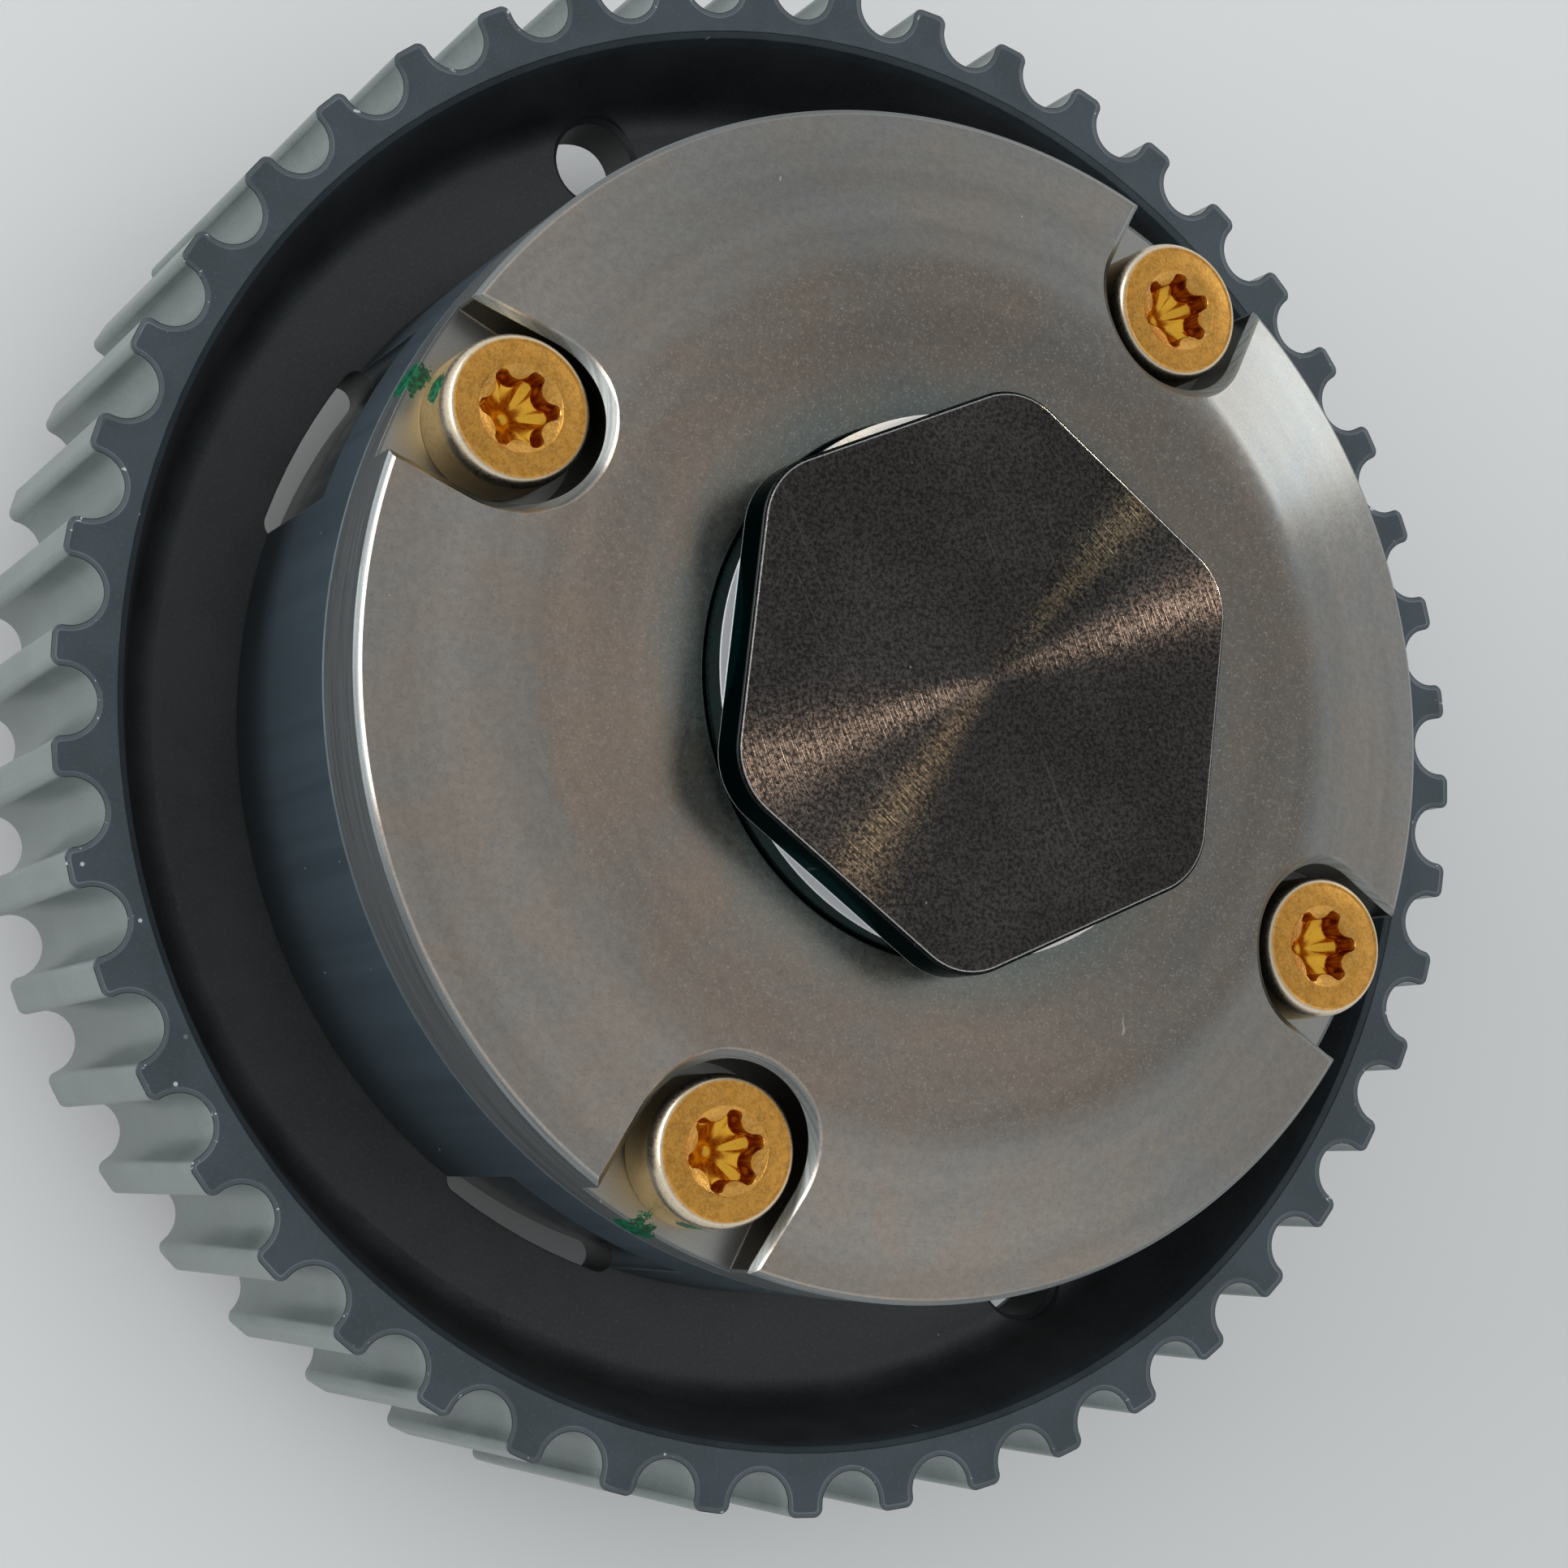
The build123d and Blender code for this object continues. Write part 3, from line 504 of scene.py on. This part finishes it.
def cover_finish(settings, paint):
    """Turned steel with milled pockets whose walls carry painted shade, painted light on one side of the face, rubbed
    edges and two paint marks.
    """
    finish = Finish("ground_cover_steel", Metallic=1.0, Anisotropic=0.3)
    radius, z = finish.radius, finish.z
    high = COVER_HIGH.z * 1000
    step = settings.flat_radius * 1000
    rim = COVER_RADIUS * 1000
    slope = finish.ramp(radius, step, rim - COVER_EDGE * 1000, high + settings.raised * 1000, high, smooth=False)
    face = finish.ramp(finish.math("SUBTRACT", z, slope), -0.25, -0.1)
    inner = finish.times(finish.ramp(radius, step + 1.3, step - 1.3), face)

    # The face: two greys under turning marks and clouds, with painted light, lighter toward -X and -Y and darker toward
    # +X and +Y.
    fine = finish.noise(finish.turned(0.001 / settings.groove_pitch, 5.0), 1.0, 2.0)
    broad = finish.noise(finish.turned(0.28, 0.7), 1.0, 3.0, 0.55)
    cloud = finish.noise(finish.place, 0.11, 3.0, 0.6, 0.6)
    grain = finish.noise(finish.place, 5.0, 2.0, 0.8)
    mottle = finish.noise(finish.place, 1.7, 3.0, 0.7)
    base = finish.mix(inner, settings.outer_colour, settings.inner_colour)
    base = finish.tinted(base, finish.mix(finish.ramp(cloud, 0.35, 0.65), (0.97, 1.0, 1.03), (1.06, 1.0, 0.96)))
    base = finish.tinted(base, finish.times(finish.ramp(broad, 0.25, 0.75, 0.9, 1.1),
                                            finish.ramp(mottle, 0.3, 0.7, 0.93, 1.07)))
    # Painted light: the face lighter toward -X and -Y, darker toward +X and +Y.
    painted_side_light = finish.times(finish.ramp(finish.vector("DOT_PRODUCT", finish.place, (0.8, 0.6, 0.0)), 12.0, -25.0), face)
    base = finish.tinted(base, finish.mix(painted_side_light, (0.84, 0.85, 0.84), (1.36, 1.29, 1.22)))

    # The walls: the cover's side, and the pockets with their chamfer and, below it, painted shade that makes the walls
    # nearly black.
    cut = finish.noise(finish.join(finish.times(z, 4.5), finish.times(finish.angle, 3.0), 0.0), 1.0, 2.0)
    walls = finish.mix(finish.ramp(radius, rim - 0.3, rim - 0.15), settings.pocket_colour, settings.side_colour)
    walls = finish.tinted(walls, finish.ramp(cut, 0.35, 0.65, 0.8, 1.25))
    sunk = finish.math("SUBTRACT", slope, z)
    chamfer = settings.pocket_chamfer * 1000
    off_side = finish.ramp(radius, rim - 0.15, rim - 0.3)
    bevelled = finish.times(finish.ramp(sunk, chamfer + 0.1, chamfer), off_side)
    walls = finish.tinted(walls, (0.56, 0.6, 0.62), bevelled)
    above_floor = finish.ramp(z, POCKET_FLOOR * 1000 + 0.05, POCKET_FLOOR * 1000 + 0.3)
    # Painted shade: the pocket walls below the chamfer, above the floor, nearly black.
    painted_wall_shade = finish.times(finish.ramp(sunk, chamfer, chamfer + 0.15), finish.times(above_floor, off_side))
    walls = finish.mix(finish.times(painted_wall_shade, 0.93), walls, (0.012, 0.016, 0.019))
    base = finish.mix(face, walls, base)

    # Bright grains, partly real grain and partly painted glints, dark grains, a painted teal reflection round the
    # collar, rubbed edges, lint and the paint marks.
    base = finish.mix(finish.times(finish.ramp(fine, 0.42, 0.25), 0.1), base, (0.16, 0.15, 0.14))
    # Partly painted glints: bright grains mixed into the colour, strongest on the matte middle.
    grain_and_glints = finish.times(finish.ramp(grain, 0.56, 0.7), finish.ramp(inner, 0.0, 1.0, 0.25, 1.0))
    base = finish.mix(finish.times(grain_and_glints, 0.4), base, (0.62, 0.58, 0.52))
    base = finish.mix(finish.times(finish.ramp(grain, 0.42, 0.3), 0.3), base, (0.12, 0.11, 0.1))
    # Painted reflection: a teal tint on the face round the plug's collar.
    painted_collar_reflection = finish.times(finish.ramp(radius, 25.0, 20.5), face)
    base = finish.tinted(base, (0.8, 0.98, 1.05), painted_collar_reflection)
    rounded, edge = finish.soft_edges(0.00006)
    base = finish.mix(finish.times(finish.ramp(edge, 0.03, 0.25), 0.6), base, (0.6, 0.6, 0.58))
    base = finish.mix(finish.times(finish.lint(0.03), 0.5), base, (0.62, 0.62, 0.6))
    dab = paint.dab * 1000
    marks = [paint_dab(finish, mark, (dab * 0.45, dab * 0.45, dab * 0.6)) for mark in COVER_PAINT]
    painted = finish.math("MAXIMUM", *marks)
    base = finish.mix(painted, base, paint_tone(finish, paint))

    height = finish.math("ADD", finish.times(fine, 0.2), finish.times(grain, finish.ramp(inner, 0.0, 1.0, 0.4, 1.0)))
    normal = finish.bump(height, 0.000004, 1.0, rounded)
    rough = finish.ramp(inner, 0.0, 1.0, 0.2, 0.26)
    rough = finish.math("ADD", rough, finish.ramp(mottle, 0.3, 0.7, -0.01, 0.03))
    rough = finish.math("MAXIMUM", rough, finish.ramp(face, 0.0, 1.0, 0.36, 0.0))
    metal = finish.times(finish.ramp(radius, rim - 0.3, rim - 0.15, 1.0, 0.6), finish.rest(painted))
    finish.set(Base_Color=base, Roughness=rough, Normal=normal, Tangent=finish.join(finish.x, finish.y, 0.0),
               Metallic=metal)
    return finish.material


def plug_finish(settings):
    """Blackened steel, faced on a lathe, with a bare ledge under the hexagon's corners and a thread below."""
    finish = Finish("blackened_plug_steel", Metallic=1.0, Anisotropic=1.0)
    z = finish.z
    top = PLUG_HIGH.z * 1000
    ledge = top - HEXAGON_HEIGHT
    top_face = finish.ramp(z, top - 0.15, top - 0.05)
    bare = finish.times(finish.ramp(z, ledge + 0.1, ledge), finish.ramp(z, ledge - 0.2, ledge - 0.1))
    bare = finish.times(bare, finish.ramp(finish.radius, HEXAGON_INNER - 0.7, HEXAGON_INNER))

    # The faced top with a darker, bluer sector, the darker sides, the collar's side lightened to teal-grey as a painted
    # reflection, and its bare ledge.
    fine = finish.noise(finish.turned(8.0, 5.0), 1.0, 2.0)
    grain = finish.noise(finish.turned(6.0, 60.0), 1.0, 2.0, 0.8)
    sparkle = finish.noise(finish.place, 3.5, 2.0, 0.9)
    cloud = finish.noise(finish.place, 0.12, 2.0)
    base = finish.tinted(tuple(settings.plug_colour), finish.times(
        finish.ramp(cloud, 0.3, 0.7, 0.85, 1.15), finish.ramp(sparkle, 0.35, 0.65, 0.6, 1.7)))
    # A darker, bluer sector of the plug, from about 43 to 69 degrees round from +X.
    darker_sector = finish.band(finish.angle, 0.75, 1.2, 0.12)
    base = finish.tinted(base, (0.62, 0.68, 0.72), darker_sector)
    base = finish.mix(finish.ramp(z, top - 0.1, top - 0.2), base, (0.008, 0.011, 0.012))
    # Painted reflection: the collar's side below the ledge lightened to teal-grey.
    base = finish.mix(finish.ramp(z, ledge - 0.1, ledge - 0.3), base, (0.1, 0.135, 0.14))
    base = finish.mix(bare, base, (0.8, 0.82, 0.84))

    # Scratches, the rubbed edge of the top, near white as partly wear and partly a painted highlight, and dust.
    leaning = finish.vector("ADD", finish.place, finish.join(finish.times(finish.y, 0.6), 0.0, 0.0))
    scratch = finish.noise(finish.vector("MULTIPLY", leaning, (3.2, 0.06, 0.3)), 1.0, 0.0)
    base = finish.mix(finish.times(finish.ramp(scratch, 0.79, 0.83), 0.2), base, (0.2, 0.19, 0.18))
    rounded, edge = finish.soft_edges(0.00013)
    edge = finish.times(edge, finish.ramp(z, top - 0.12, top - 0.04))
    # Partly a painted highlight: the top's edge mixed to near white.
    base = finish.mix(finish.ramp(edge, 0.01, 0.07), base, (0.95, 0.95, 0.93))
    base = finish.mix(finish.times(finish.specks(finish.place, 0.6, 0.06, 0.08), 0.6), base, (0.6, 0.6, 0.6))

    # The thread below the cover, and the facing marks on a slightly dished top.
    turns = finish.math("ADD", z, finish.times(finish.angle, PLUG_THREAD / (2 * pi)))
    below = finish.ramp(z, COVER_HIGH.z * 1000 + 0.1, COVER_HIGH.z * 1000)
    thread = finish.times(finish.math("PINGPONG", turns, PLUG_THREAD / 2), below)
    normal = finish.bump(thread, 0.0008, 1.0, rounded)
    marks = finish.math("ADD", fine, finish.times(grain, 0.12))
    dish = finish.times(finish.radius, 1.2)
    normal = finish.bump(finish.times(finish.math("ADD", marks, dish), top_face), 0.00003, 1.0, normal)
    around = finish.join(finish.times(finish.y, -1.0), finish.x, 0.0)
    tangent = finish.mix(top_face, around, finish.join(finish.x, finish.y, 0.0))
    rough = finish.ramp(sparkle, 0.3, 0.7, 0.12, 0.28)
    rough = finish.math("ADD", rough, finish.times(bare, 0.2))
    finish.set(Base_Color=base, Roughness=rough, Normal=normal, Tangent=tangent, Specular_Tint=(0.45, 0.5, 0.5, 1.0),
               Metallic=finish.rest(finish.times(bare, 0.7)))
    finish.put("hex_plug")


def plain_metal(name, tint, roughness, *nodes):
    """Ground or rolled metal of the small inner parts."""
    finish = Finish(name, Metallic=1.0)
    grain = finish.noise(finish.place, 5.0, 3.0, 0.7)
    base = finish.mix(finish.noise(finish.place, 0.6, 2.0), tint, Vector(tint) * 0.75)
    rounded, _ = finish.soft_edges(0.0001)
    finish.set(Base_Color=base, Roughness=finish.ramp(grain, 0.3, 0.7, roughness, roughness + 0.12),
               Normal=finish.bump(grain, 0.00001, 0.4, rounded))
    finish.put(*nodes)
    return finish.material


def plain_polymer(name, tint, roughness, *nodes):
    """Moulded rubber or filled plastic of the seals."""
    finish = Finish(name, Metallic=0.0)
    grain = finish.noise(finish.place, 3.0, 3.0, 0.6)
    base = finish.mix(grain, tint, Vector(tint) * 1.6)
    finish.set(Base_Color=base, Roughness=finish.ramp(grain, 0.3, 0.7, roughness, roughness + 0.1),
               Normal=finish.bump(grain, 0.00003, 0.3))
    finish.put(*nodes)


def lobe_radius(angle):
    """Radius of the six-lobe socket at this angle, in metres."""
    from_lobe = abs((angle + pi / 6) % (pi / 3) - pi / 6)
    from_ridge = pi / 6 - from_lobe
    radii = []
    if sin(from_lobe) < LOBE_RADIUS / LOBE_PLACE:
        radii.append(LOBE_PLACE * cos(from_lobe) + sqrt(LOBE_RADIUS**2 - (LOBE_PLACE * sin(from_lobe))**2))
    if sin(from_ridge) < RIDGE_RADIUS / RIDGE_PLACE:
        radii.append(RIDGE_PLACE * cos(from_ridge) - sqrt(RIDGE_RADIUS**2 - (RIDGE_PLACE * sin(from_ridge))**2))
    return min(radii) * 0.001


def screw_rings(settings, turn, count=144):
    """Rings of points from the drill point under the socket, over the head and down to the shank's end."""
    angles = [2 * pi * k / count for k in range(count)]
    lobes = [lobe_radius(a - turn) for a in angles]
    top = settings.head_height
    floor = top - settings.socket_depth
    rings = []

    def ring(radius, height):
        """One ring; its radius and height are one value each, or one for every angle."""
        radii = radius if isinstance(radius, list) else [radius] * count
        heights = height if isinstance(height, list) else [height] * count
        rings.append([(r * cos(a), r * sin(a), z) for a, r, z in zip(angles, radii, heights)])

    # The drill point, then the socket with a rounded floor.
    for radius, depth in ((0.0001, 0.0013), (0.0004, 0.00122), (0.00055, 0.001), (0.0012, 0.0006)):
        ring(radius, floor - depth)
    for scale, rise in ((0.86, 0.0), (0.97, 0.00012), (1.0, 0.0003)):
        ring([lobe * scale for lobe in lobes], floor + rise)

    # The socket's mouth, a shallow cone between the lobes and the entry circle.
    entry, slope, lip = settings.entry_radius, 0.42, 0.00006
    ring(lobes, [top - 0.00014 - (entry - lobe) * slope for lobe in lobes])
    ring([lobe + lip for lobe in lobes], [top - lip - max(entry - lobe - lip, 0.0) * slope for lobe in lobes])
    ring(entry, top - 0.00005)
    ring(entry + lip, top)

    # The top face with a fine groove at its edge, the rolled shoulder and the head's underside.
    head, shoulder = settings.head_radius, settings.shoulder
    flat = head - shoulder
    groove = 0.00005
    ring(flat - 0.0003, top)
    ring(flat - 0.00022, top - groove)
    ring(flat - 0.00012, top - groove)
    for k in range(9):
        a = pi / 2 * k / 8
        ring(flat + shoulder * sin(a), top - settings.shoulder_drop * (1 - cos(a)))
    for inset, height in ((0.0, 0.0003), (0.0001, 0.0001), (0.0003, 0.0)):
        ring(head - inset, height)

    # The shank, its thread and its end.
    shank, end = settings.shank_radius, POCKET_FLOOR - SCREW_LOW.z
    for flare, height in ((0.0003, 0.0), (0.00005, -0.00012), (0.0, -0.00035)):
        ring(shank + flare, height)
    pitch, depth, steps = settings.thread_pitch, settings.thread_depth, 8
    plain, threaded = 0.008, end - 0.009
    for k in range(int(threaded / pitch * steps)):
        height = -plain - k * pitch / steps
        cut = depth * min(1.0, k / steps, (end + height) / pitch)
        ring([shank - cut * abs(2 * ((height / pitch + a / (2 * pi)) % 1.0) - 1) for a in angles], height)
    ring(shank - 0.0007, 0.0002 - end)
    ring(shank - 0.0009, -end)
    ring(0.0002, -end)
    return rings


def mesh_from_rings(name, rings, sharp=35.0, closed=False):
    """A closed surface through rings of equal count, capped or closed on itself, smooth but for its sharp edges."""
    built = bmesh.new()
    rows = [[built.verts.new(point) for point in ring] for ring in rings]
    count = len(rows[0])
    for low, high in zip(rows, rows[1:] + rows[:1] if closed else rows[1:]):
        for k in range(count):
            built.faces.new((low[k], low[(k + 1) % count], high[(k + 1) % count], high[k]))
    if not closed:
        built.faces.new(reversed(rows[0]))
        built.faces.new(rows[-1])
    bmesh.ops.recalc_face_normals(built, faces=built.faces)
    mesh = bpy.data.meshes.new(name)
    built.to_mesh(mesh)
    built.free()
    smooth(mesh, sharp)
    piece = bpy.data.objects.new(name, mesh)
    bpy.context.scene.collection.objects.link(piece)
    return piece


def screw_finish(settings, paint, name, marked):
    """Yellow zinc, thin and pale on the shoulder, with painted shade and painted light in the socket, and a paint mark
    on some.
    """
    finish = Finish(name, Metallic=1.0)
    radius, z = finish.radius, finish.z
    top = settings.head_height * 1000
    flat = (settings.head_radius - settings.shoulder) * 1000
    entry = settings.entry_radius * 1000
    grain = finish.noise(finish.place, 4.5, 3.0, 0.7)
    cloud = finish.noise(finish.place, 0.7, 2.0)
    outside = finish.ramp(radius, flat - 0.05, flat + 0.15)
    under = finish.ramp(z, top - 1.1, top - 2.0)
    socket = finish.times(finish.ramp(radius, entry + 0.02, entry - 0.05), finish.ramp(z, top - 0.3, top - 0.8))
    bottom = top - settings.socket_depth * 1000
    floor = finish.ramp(z, bottom + 0.3, bottom + 0.1)
    mouth = finish.times(finish.ramp(radius, entry + 0.03, entry - 0.03), finish.band(z, top - 0.3, top - 0.03, 0.02))

    # Patchy plating, pale on the shoulder; in the socket, painted shade on the walls, painted light on the floor and a
    # faint painted highlight at the mouth.
    patches = finish.noise(finish.place, 1.4, 3.0, 0.7)
    warm = finish.mix(cloud, settings.zinc, Vector(settings.zinc) * 0.86)
    warm = finish.tinted(warm, finish.ramp(patches, 0.3, 0.7, 0.78, 1.2))
    base = finish.mix(finish.ramp(grain, 0.45, 0.75), warm, (0.68, 0.42, 0.14))
    base = finish.mix(finish.times(outside, 0.9), base, settings.pale)
    base = finish.mix(finish.times(outside, under), base, (0.78, 0.56, 0.26))
    # Painted shade on the socket's walls, and painted light on its floor.
    base = finish.mix(socket, base, settings.socket_shade_zinc)
    base = finish.mix(finish.times(socket, floor), base, (0.95, 0.5, 0.05))
    # Faint painted highlight: the socket's mouth lightened.
    base = finish.mix(finish.times(mouth, 0.12), base, (0.95, 0.6, 0.2))
    base = finish.mix(finish.times(finish.ramp(grain, 0.46, 0.36), 0.28), base, (0.4, 0.17, 0.03))

    rough = finish.ramp(grain, 0.3, 0.7, 0.3, 0.42)
    rough = finish.math("SUBTRACT", rough, finish.times(finish.math("MAXIMUM", socket, mouth), 0.12))
    rough = finish.math("ADD", rough, finish.times(outside, finish.ramp(under, 0.0, 1.0, -0.04, 0.1)))
    pits = finish.times(grain, finish.ramp(finish.math("MAXIMUM", socket, outside), 0.0, 1.0, 1.0, 0.04))
    normal = finish.bump(pits, 0.00003, 1.0)
    if marked:
        dab = paint.dab * 1000
        painted = paint_dab(finish, (settings.head_radius * 1000, 1.2, top - 2.8), (dab * 0.35, dab * 0.35, dab * 0.42))
        base = finish.mix(painted, base, paint_tone(finish, paint))
        finish.set(Metallic=finish.rest(painted))
    finish.set(Base_Color=base, Roughness=rough, Normal=normal)
    return finish.material


def coil_piece(node, wire, coils, count=16, steps=40):
    """A coil spring of round wire that fills this node's box."""
    low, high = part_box(node)
    middle = (low + high) / 2
    radius = (high.x - low.x - wire) / 2
    rings = []
    for k in range(coils * steps + 1):
        turn = 2 * pi * k / steps
        height = low.z + wire / 2 + (high.z - low.z - wire) * k / (coils * steps)
        rings.append([(middle.x + (radius + wire / 2 * cos(a)) * cos(turn),
                       middle.y + (radius + wire / 2 * cos(a)) * sin(turn), height + wire / 2 * sin(a))
                      for a in (2 * pi * j / count for j in range(count))])
    return mesh_from_rings(node + "_coil", rings, sharp=60.0)


def soft_box(name, location, target, size, power, tint=(1.0, 1.0, 1.0)):
    """A rectangular lamp that faces this target."""
    lamp = bpy.data.lights.new(name, "AREA")
    lamp.shape = "RECTANGLE"
    lamp.size, lamp.size_y = size
    lamp.energy = power
    lamp.color = tint
    box = bpy.data.objects.new(name, lamp)
    box.location = location
    box.rotation_euler = (Vector(target) - Vector(location)).to_track_quat("-Z", "Y").to_euler()
    bpy.context.scene.collection.objects.link(box)
    return box


class CAM_PHASER_OT_pulley(Operator):
    """Give the belt pulley and the drum their steam-treated finish"""
    bl_idname = "cam_phaser.pulley"
    bl_label = "Pulley and Drum Finish"

    def execute(self, context):
        pulley_finish(context.scene.cam_phaser.pulley)
        drum_finish(context.scene.cam_phaser.pulley)
        return {"FINISHED"}


class CAM_PHASER_OT_cover(Operator):
    """Build the front cover with its raised middle and screw pockets, and finish it and the hexagon plug"""
    bl_idname = "cam_phaser.cover"
    bl_label = "Cover and Plug"

    def execute(self, context):
        settings = context.scene.cam_phaser
        cover = cover_piece(settings.cover)
        cover.data.materials.clear()
        cover.data.materials.append(cover_finish(settings.cover, settings.paint))
        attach(cover, "housing")
        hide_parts("front_cover")
        plug_finish(settings.cover)
        return {"FINISHED"}


class CAM_PHASER_OT_screws(Operator):
    """Build the four cover screws with rounded heads and six-lobe sockets"""
    bl_idname = "cam_phaser.screws"
    bl_label = "Cover Screws"

    def execute(self, context):
        settings = context.scene.cam_phaser.screws
        paint = context.scene.cam_phaser.paint
        finishes = [screw_finish(settings, paint, "yellow_zinc_marked", True),
                    screw_finish(settings, paint, "yellow_zinc", False)]
        for number, (angle, turn) in enumerate(zip(SCREW_ANGLES, SOCKET_TURNS), 1):
            screw = mesh_from_rings(f"cover_screw_{number}", screw_rings(settings, radians(turn - angle)))
            screw.data.materials.append(finishes[0 if number <= 2 else 1])
            screw.location = (SCREW_CIRCLE * cos(radians(angle)), SCREW_CIRCLE * sin(radians(angle)), POCKET_FLOOR)
            screw.rotation_euler = (0.0, 0.0, radians(angle))
            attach(screw, "housing")
            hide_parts("cover_screws")
        return {"FINISHED"}


class CAM_PHASER_OT_inside(Operator):
    """Build the lock pin's spring, and finish the rotor, lock pin, seals, springs and dowels"""
    bl_idname = "cam_phaser.inside"
    bl_label = "Rotor and Small Parts"

    def execute(self, context):
        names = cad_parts
        plain_metal("ground_rotor_steel", (0.3, 0.3, 0.31), 0.34, "rotor")
        plain_metal("hardened_pin_steel", (0.6, 0.6, 0.62), 0.18, "lock_pin", "lock_cap", "lock_bush",
                    *[name for name in names if name.endswith("dowel")])
        strip = plain_metal("spring_steel_strip", (0.35, 0.35, 0.37), 0.25,
                            *[name for name in names if "spring" in name])
        spring = coil_piece("lock_spring", SPRING_WIRE, SPRING_TURNS)
        spring.data.materials.append(strip)
        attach(spring, "rotor")
        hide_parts("lock_spring")
        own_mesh(spring)
        plain_polymer("seal_rubber", (0.03, 0.03, 0.03), 0.5, *[name for name in names if name.endswith("_o_ring")])
        plain_polymer("tip_seal_polymer", (0.1, 0.09, 0.08), 0.45, *[name for name in names if "_seal_" in name])
        return {"FINISHED"}


class CAM_PHASER_OT_stage(Operator):
    """Build the floor, the soft light and the camera"""
    bl_idname = "cam_phaser.stage"
    bl_label = "Stage"

    def execute(self, context):
        settings = context.scene.cam_phaser.stage
        mesh = bpy.data.meshes.new("floor")
        built = bmesh.new()
        bmesh.ops.create_circle(built, cap_ends=True, segments=96, radius=4.0)
        built.to_mesh(mesh)
        built.free()
        floor = bpy.data.objects.new("floor", mesh)
        context.scene.collection.objects.link(floor)
        finish = Finish("pale_floor", Metallic=0.0, Roughness=0.7)
        tone = finish.noise(finish.place, 0.004, 2.0)
        finish.set(Base_Color=finish.mix(tone, settings.floor_colour, Vector(settings.floor_colour) * 0.96))
        mesh.materials.append(finish.material)

        world = bpy.data.worlds.new("studio")
        world.use_nodes = True
        tree = world.node_tree
        direction = tree.nodes.new("ShaderNodeSeparateXYZ")
        tree.links.new(tree.nodes.new("ShaderNodeTexCoord").outputs["Generated"], direction.inputs[0])
        height = tree.nodes.new("ShaderNodeMapRange")
        height.inputs["To Min"].default_value = settings.horizon
        height.inputs["To Max"].default_value = settings.sky
        tree.links.new(direction.outputs["Z"], height.inputs["Value"])
        background = tree.nodes["Background"]
        background.inputs["Color"].default_value = (0.95, 0.98, 1.0, 1.0)
        tree.links.new(height.outputs["Result"], background.inputs["Strength"])
        context.scene.world = world

        middle = (0.0, 0.0, 0.05)
        soft_box("window", (0.61, 0.46, 0.34), (0.029, 0.025, 0.053), (0.17, 0.14), settings.window, (0.86, 0.95, 1.0))
        strips = [soft_box("warm_strip", (0.7, 0.36, 0.49), middle, (0.016, 0.22), settings.strip, (1.0, 0.74, 0.54)),
                  soft_box("warm_lamp", (0.603, 0.477, 0.528), middle, (0.01, 0.12), settings.strip * 0.55,
                           (1.0, 0.72, 0.36))]
        for lamp in strips:
            lamp.light_linking.receiver_collection = bpy.data.collections.new(lamp.name)
            lamp.light_linking.receiver_collection.objects.link(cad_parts["hex_plug"])
        soft_box("fill", (-0.7, 0.16, 0.28), middle, (0.85, 0.24), settings.fill)

        view = bpy.data.cameras.new("camera")
        view.sensor_width = SENSOR
        view.lens = SENSOR * FOCAL_LENGTH / PICTURE_WIDTH
        view.clip_start = 0.01
        camera = bpy.data.objects.new("camera", view)
        camera.location = CAMERA_PLACE
        camera.rotation_euler = [radians(turn) for turn in CAMERA_TURN]
        context.scene.collection.objects.link(camera)
        context.scene.camera = camera
        context.scene.view_settings.view_transform = "Standard"
        return {"FINISHED"}


class CAM_PHASER_PT_panel(Panel):
    """Sizes, colours and steps of the cam phaser"""
    bl_label = "Cam Phaser"
    bl_idname = "CAM_PHASER_PT_panel"
    bl_space_type = "VIEW_3D"
    bl_region_type = "UI"
    bl_category = "Cam Phaser"

    def draw(self, context):
        settings = context.scene.cam_phaser
        for group, step in (("stage", CAM_PHASER_OT_stage), ("pulley", CAM_PHASER_OT_pulley),
                            ("cover", CAM_PHASER_OT_cover), ("screws", CAM_PHASER_OT_screws),
                            ("paint", None), (None, CAM_PHASER_OT_inside)):
            box = self.layout.box()
            if group:
                part = getattr(settings, group)
                for name in part.__annotations__:
                    box.prop(part, name)
            if step:
                box.operator(step.bl_idname)


CLASSES = (PulleySettings, CoverSettings, ScrewSettings, PaintSettings, StageSettings, PhaserSettings,
           CAM_PHASER_OT_stage, CAM_PHASER_OT_pulley, CAM_PHASER_OT_cover, CAM_PHASER_OT_screws,
           CAM_PHASER_OT_inside, CAM_PHASER_PT_panel)


def register():
    for kind in CLASSES:
        bpy.utils.register_class(kind)
    bpy.types.Scene.cam_phaser = PointerProperty(type=PhaserSettings)


def unregister():
    del bpy.types.Scene.cam_phaser
    for kind in reversed(CLASSES):
        bpy.utils.unregister_class(kind)


def main():
    register()
    bpy.ops.cam_phaser.stage()
    bpy.ops.cam_phaser.pulley()
    bpy.ops.cam_phaser.cover()
    bpy.ops.cam_phaser.screws()
    bpy.ops.cam_phaser.inside()


if __name__ == "__main__":
    main()
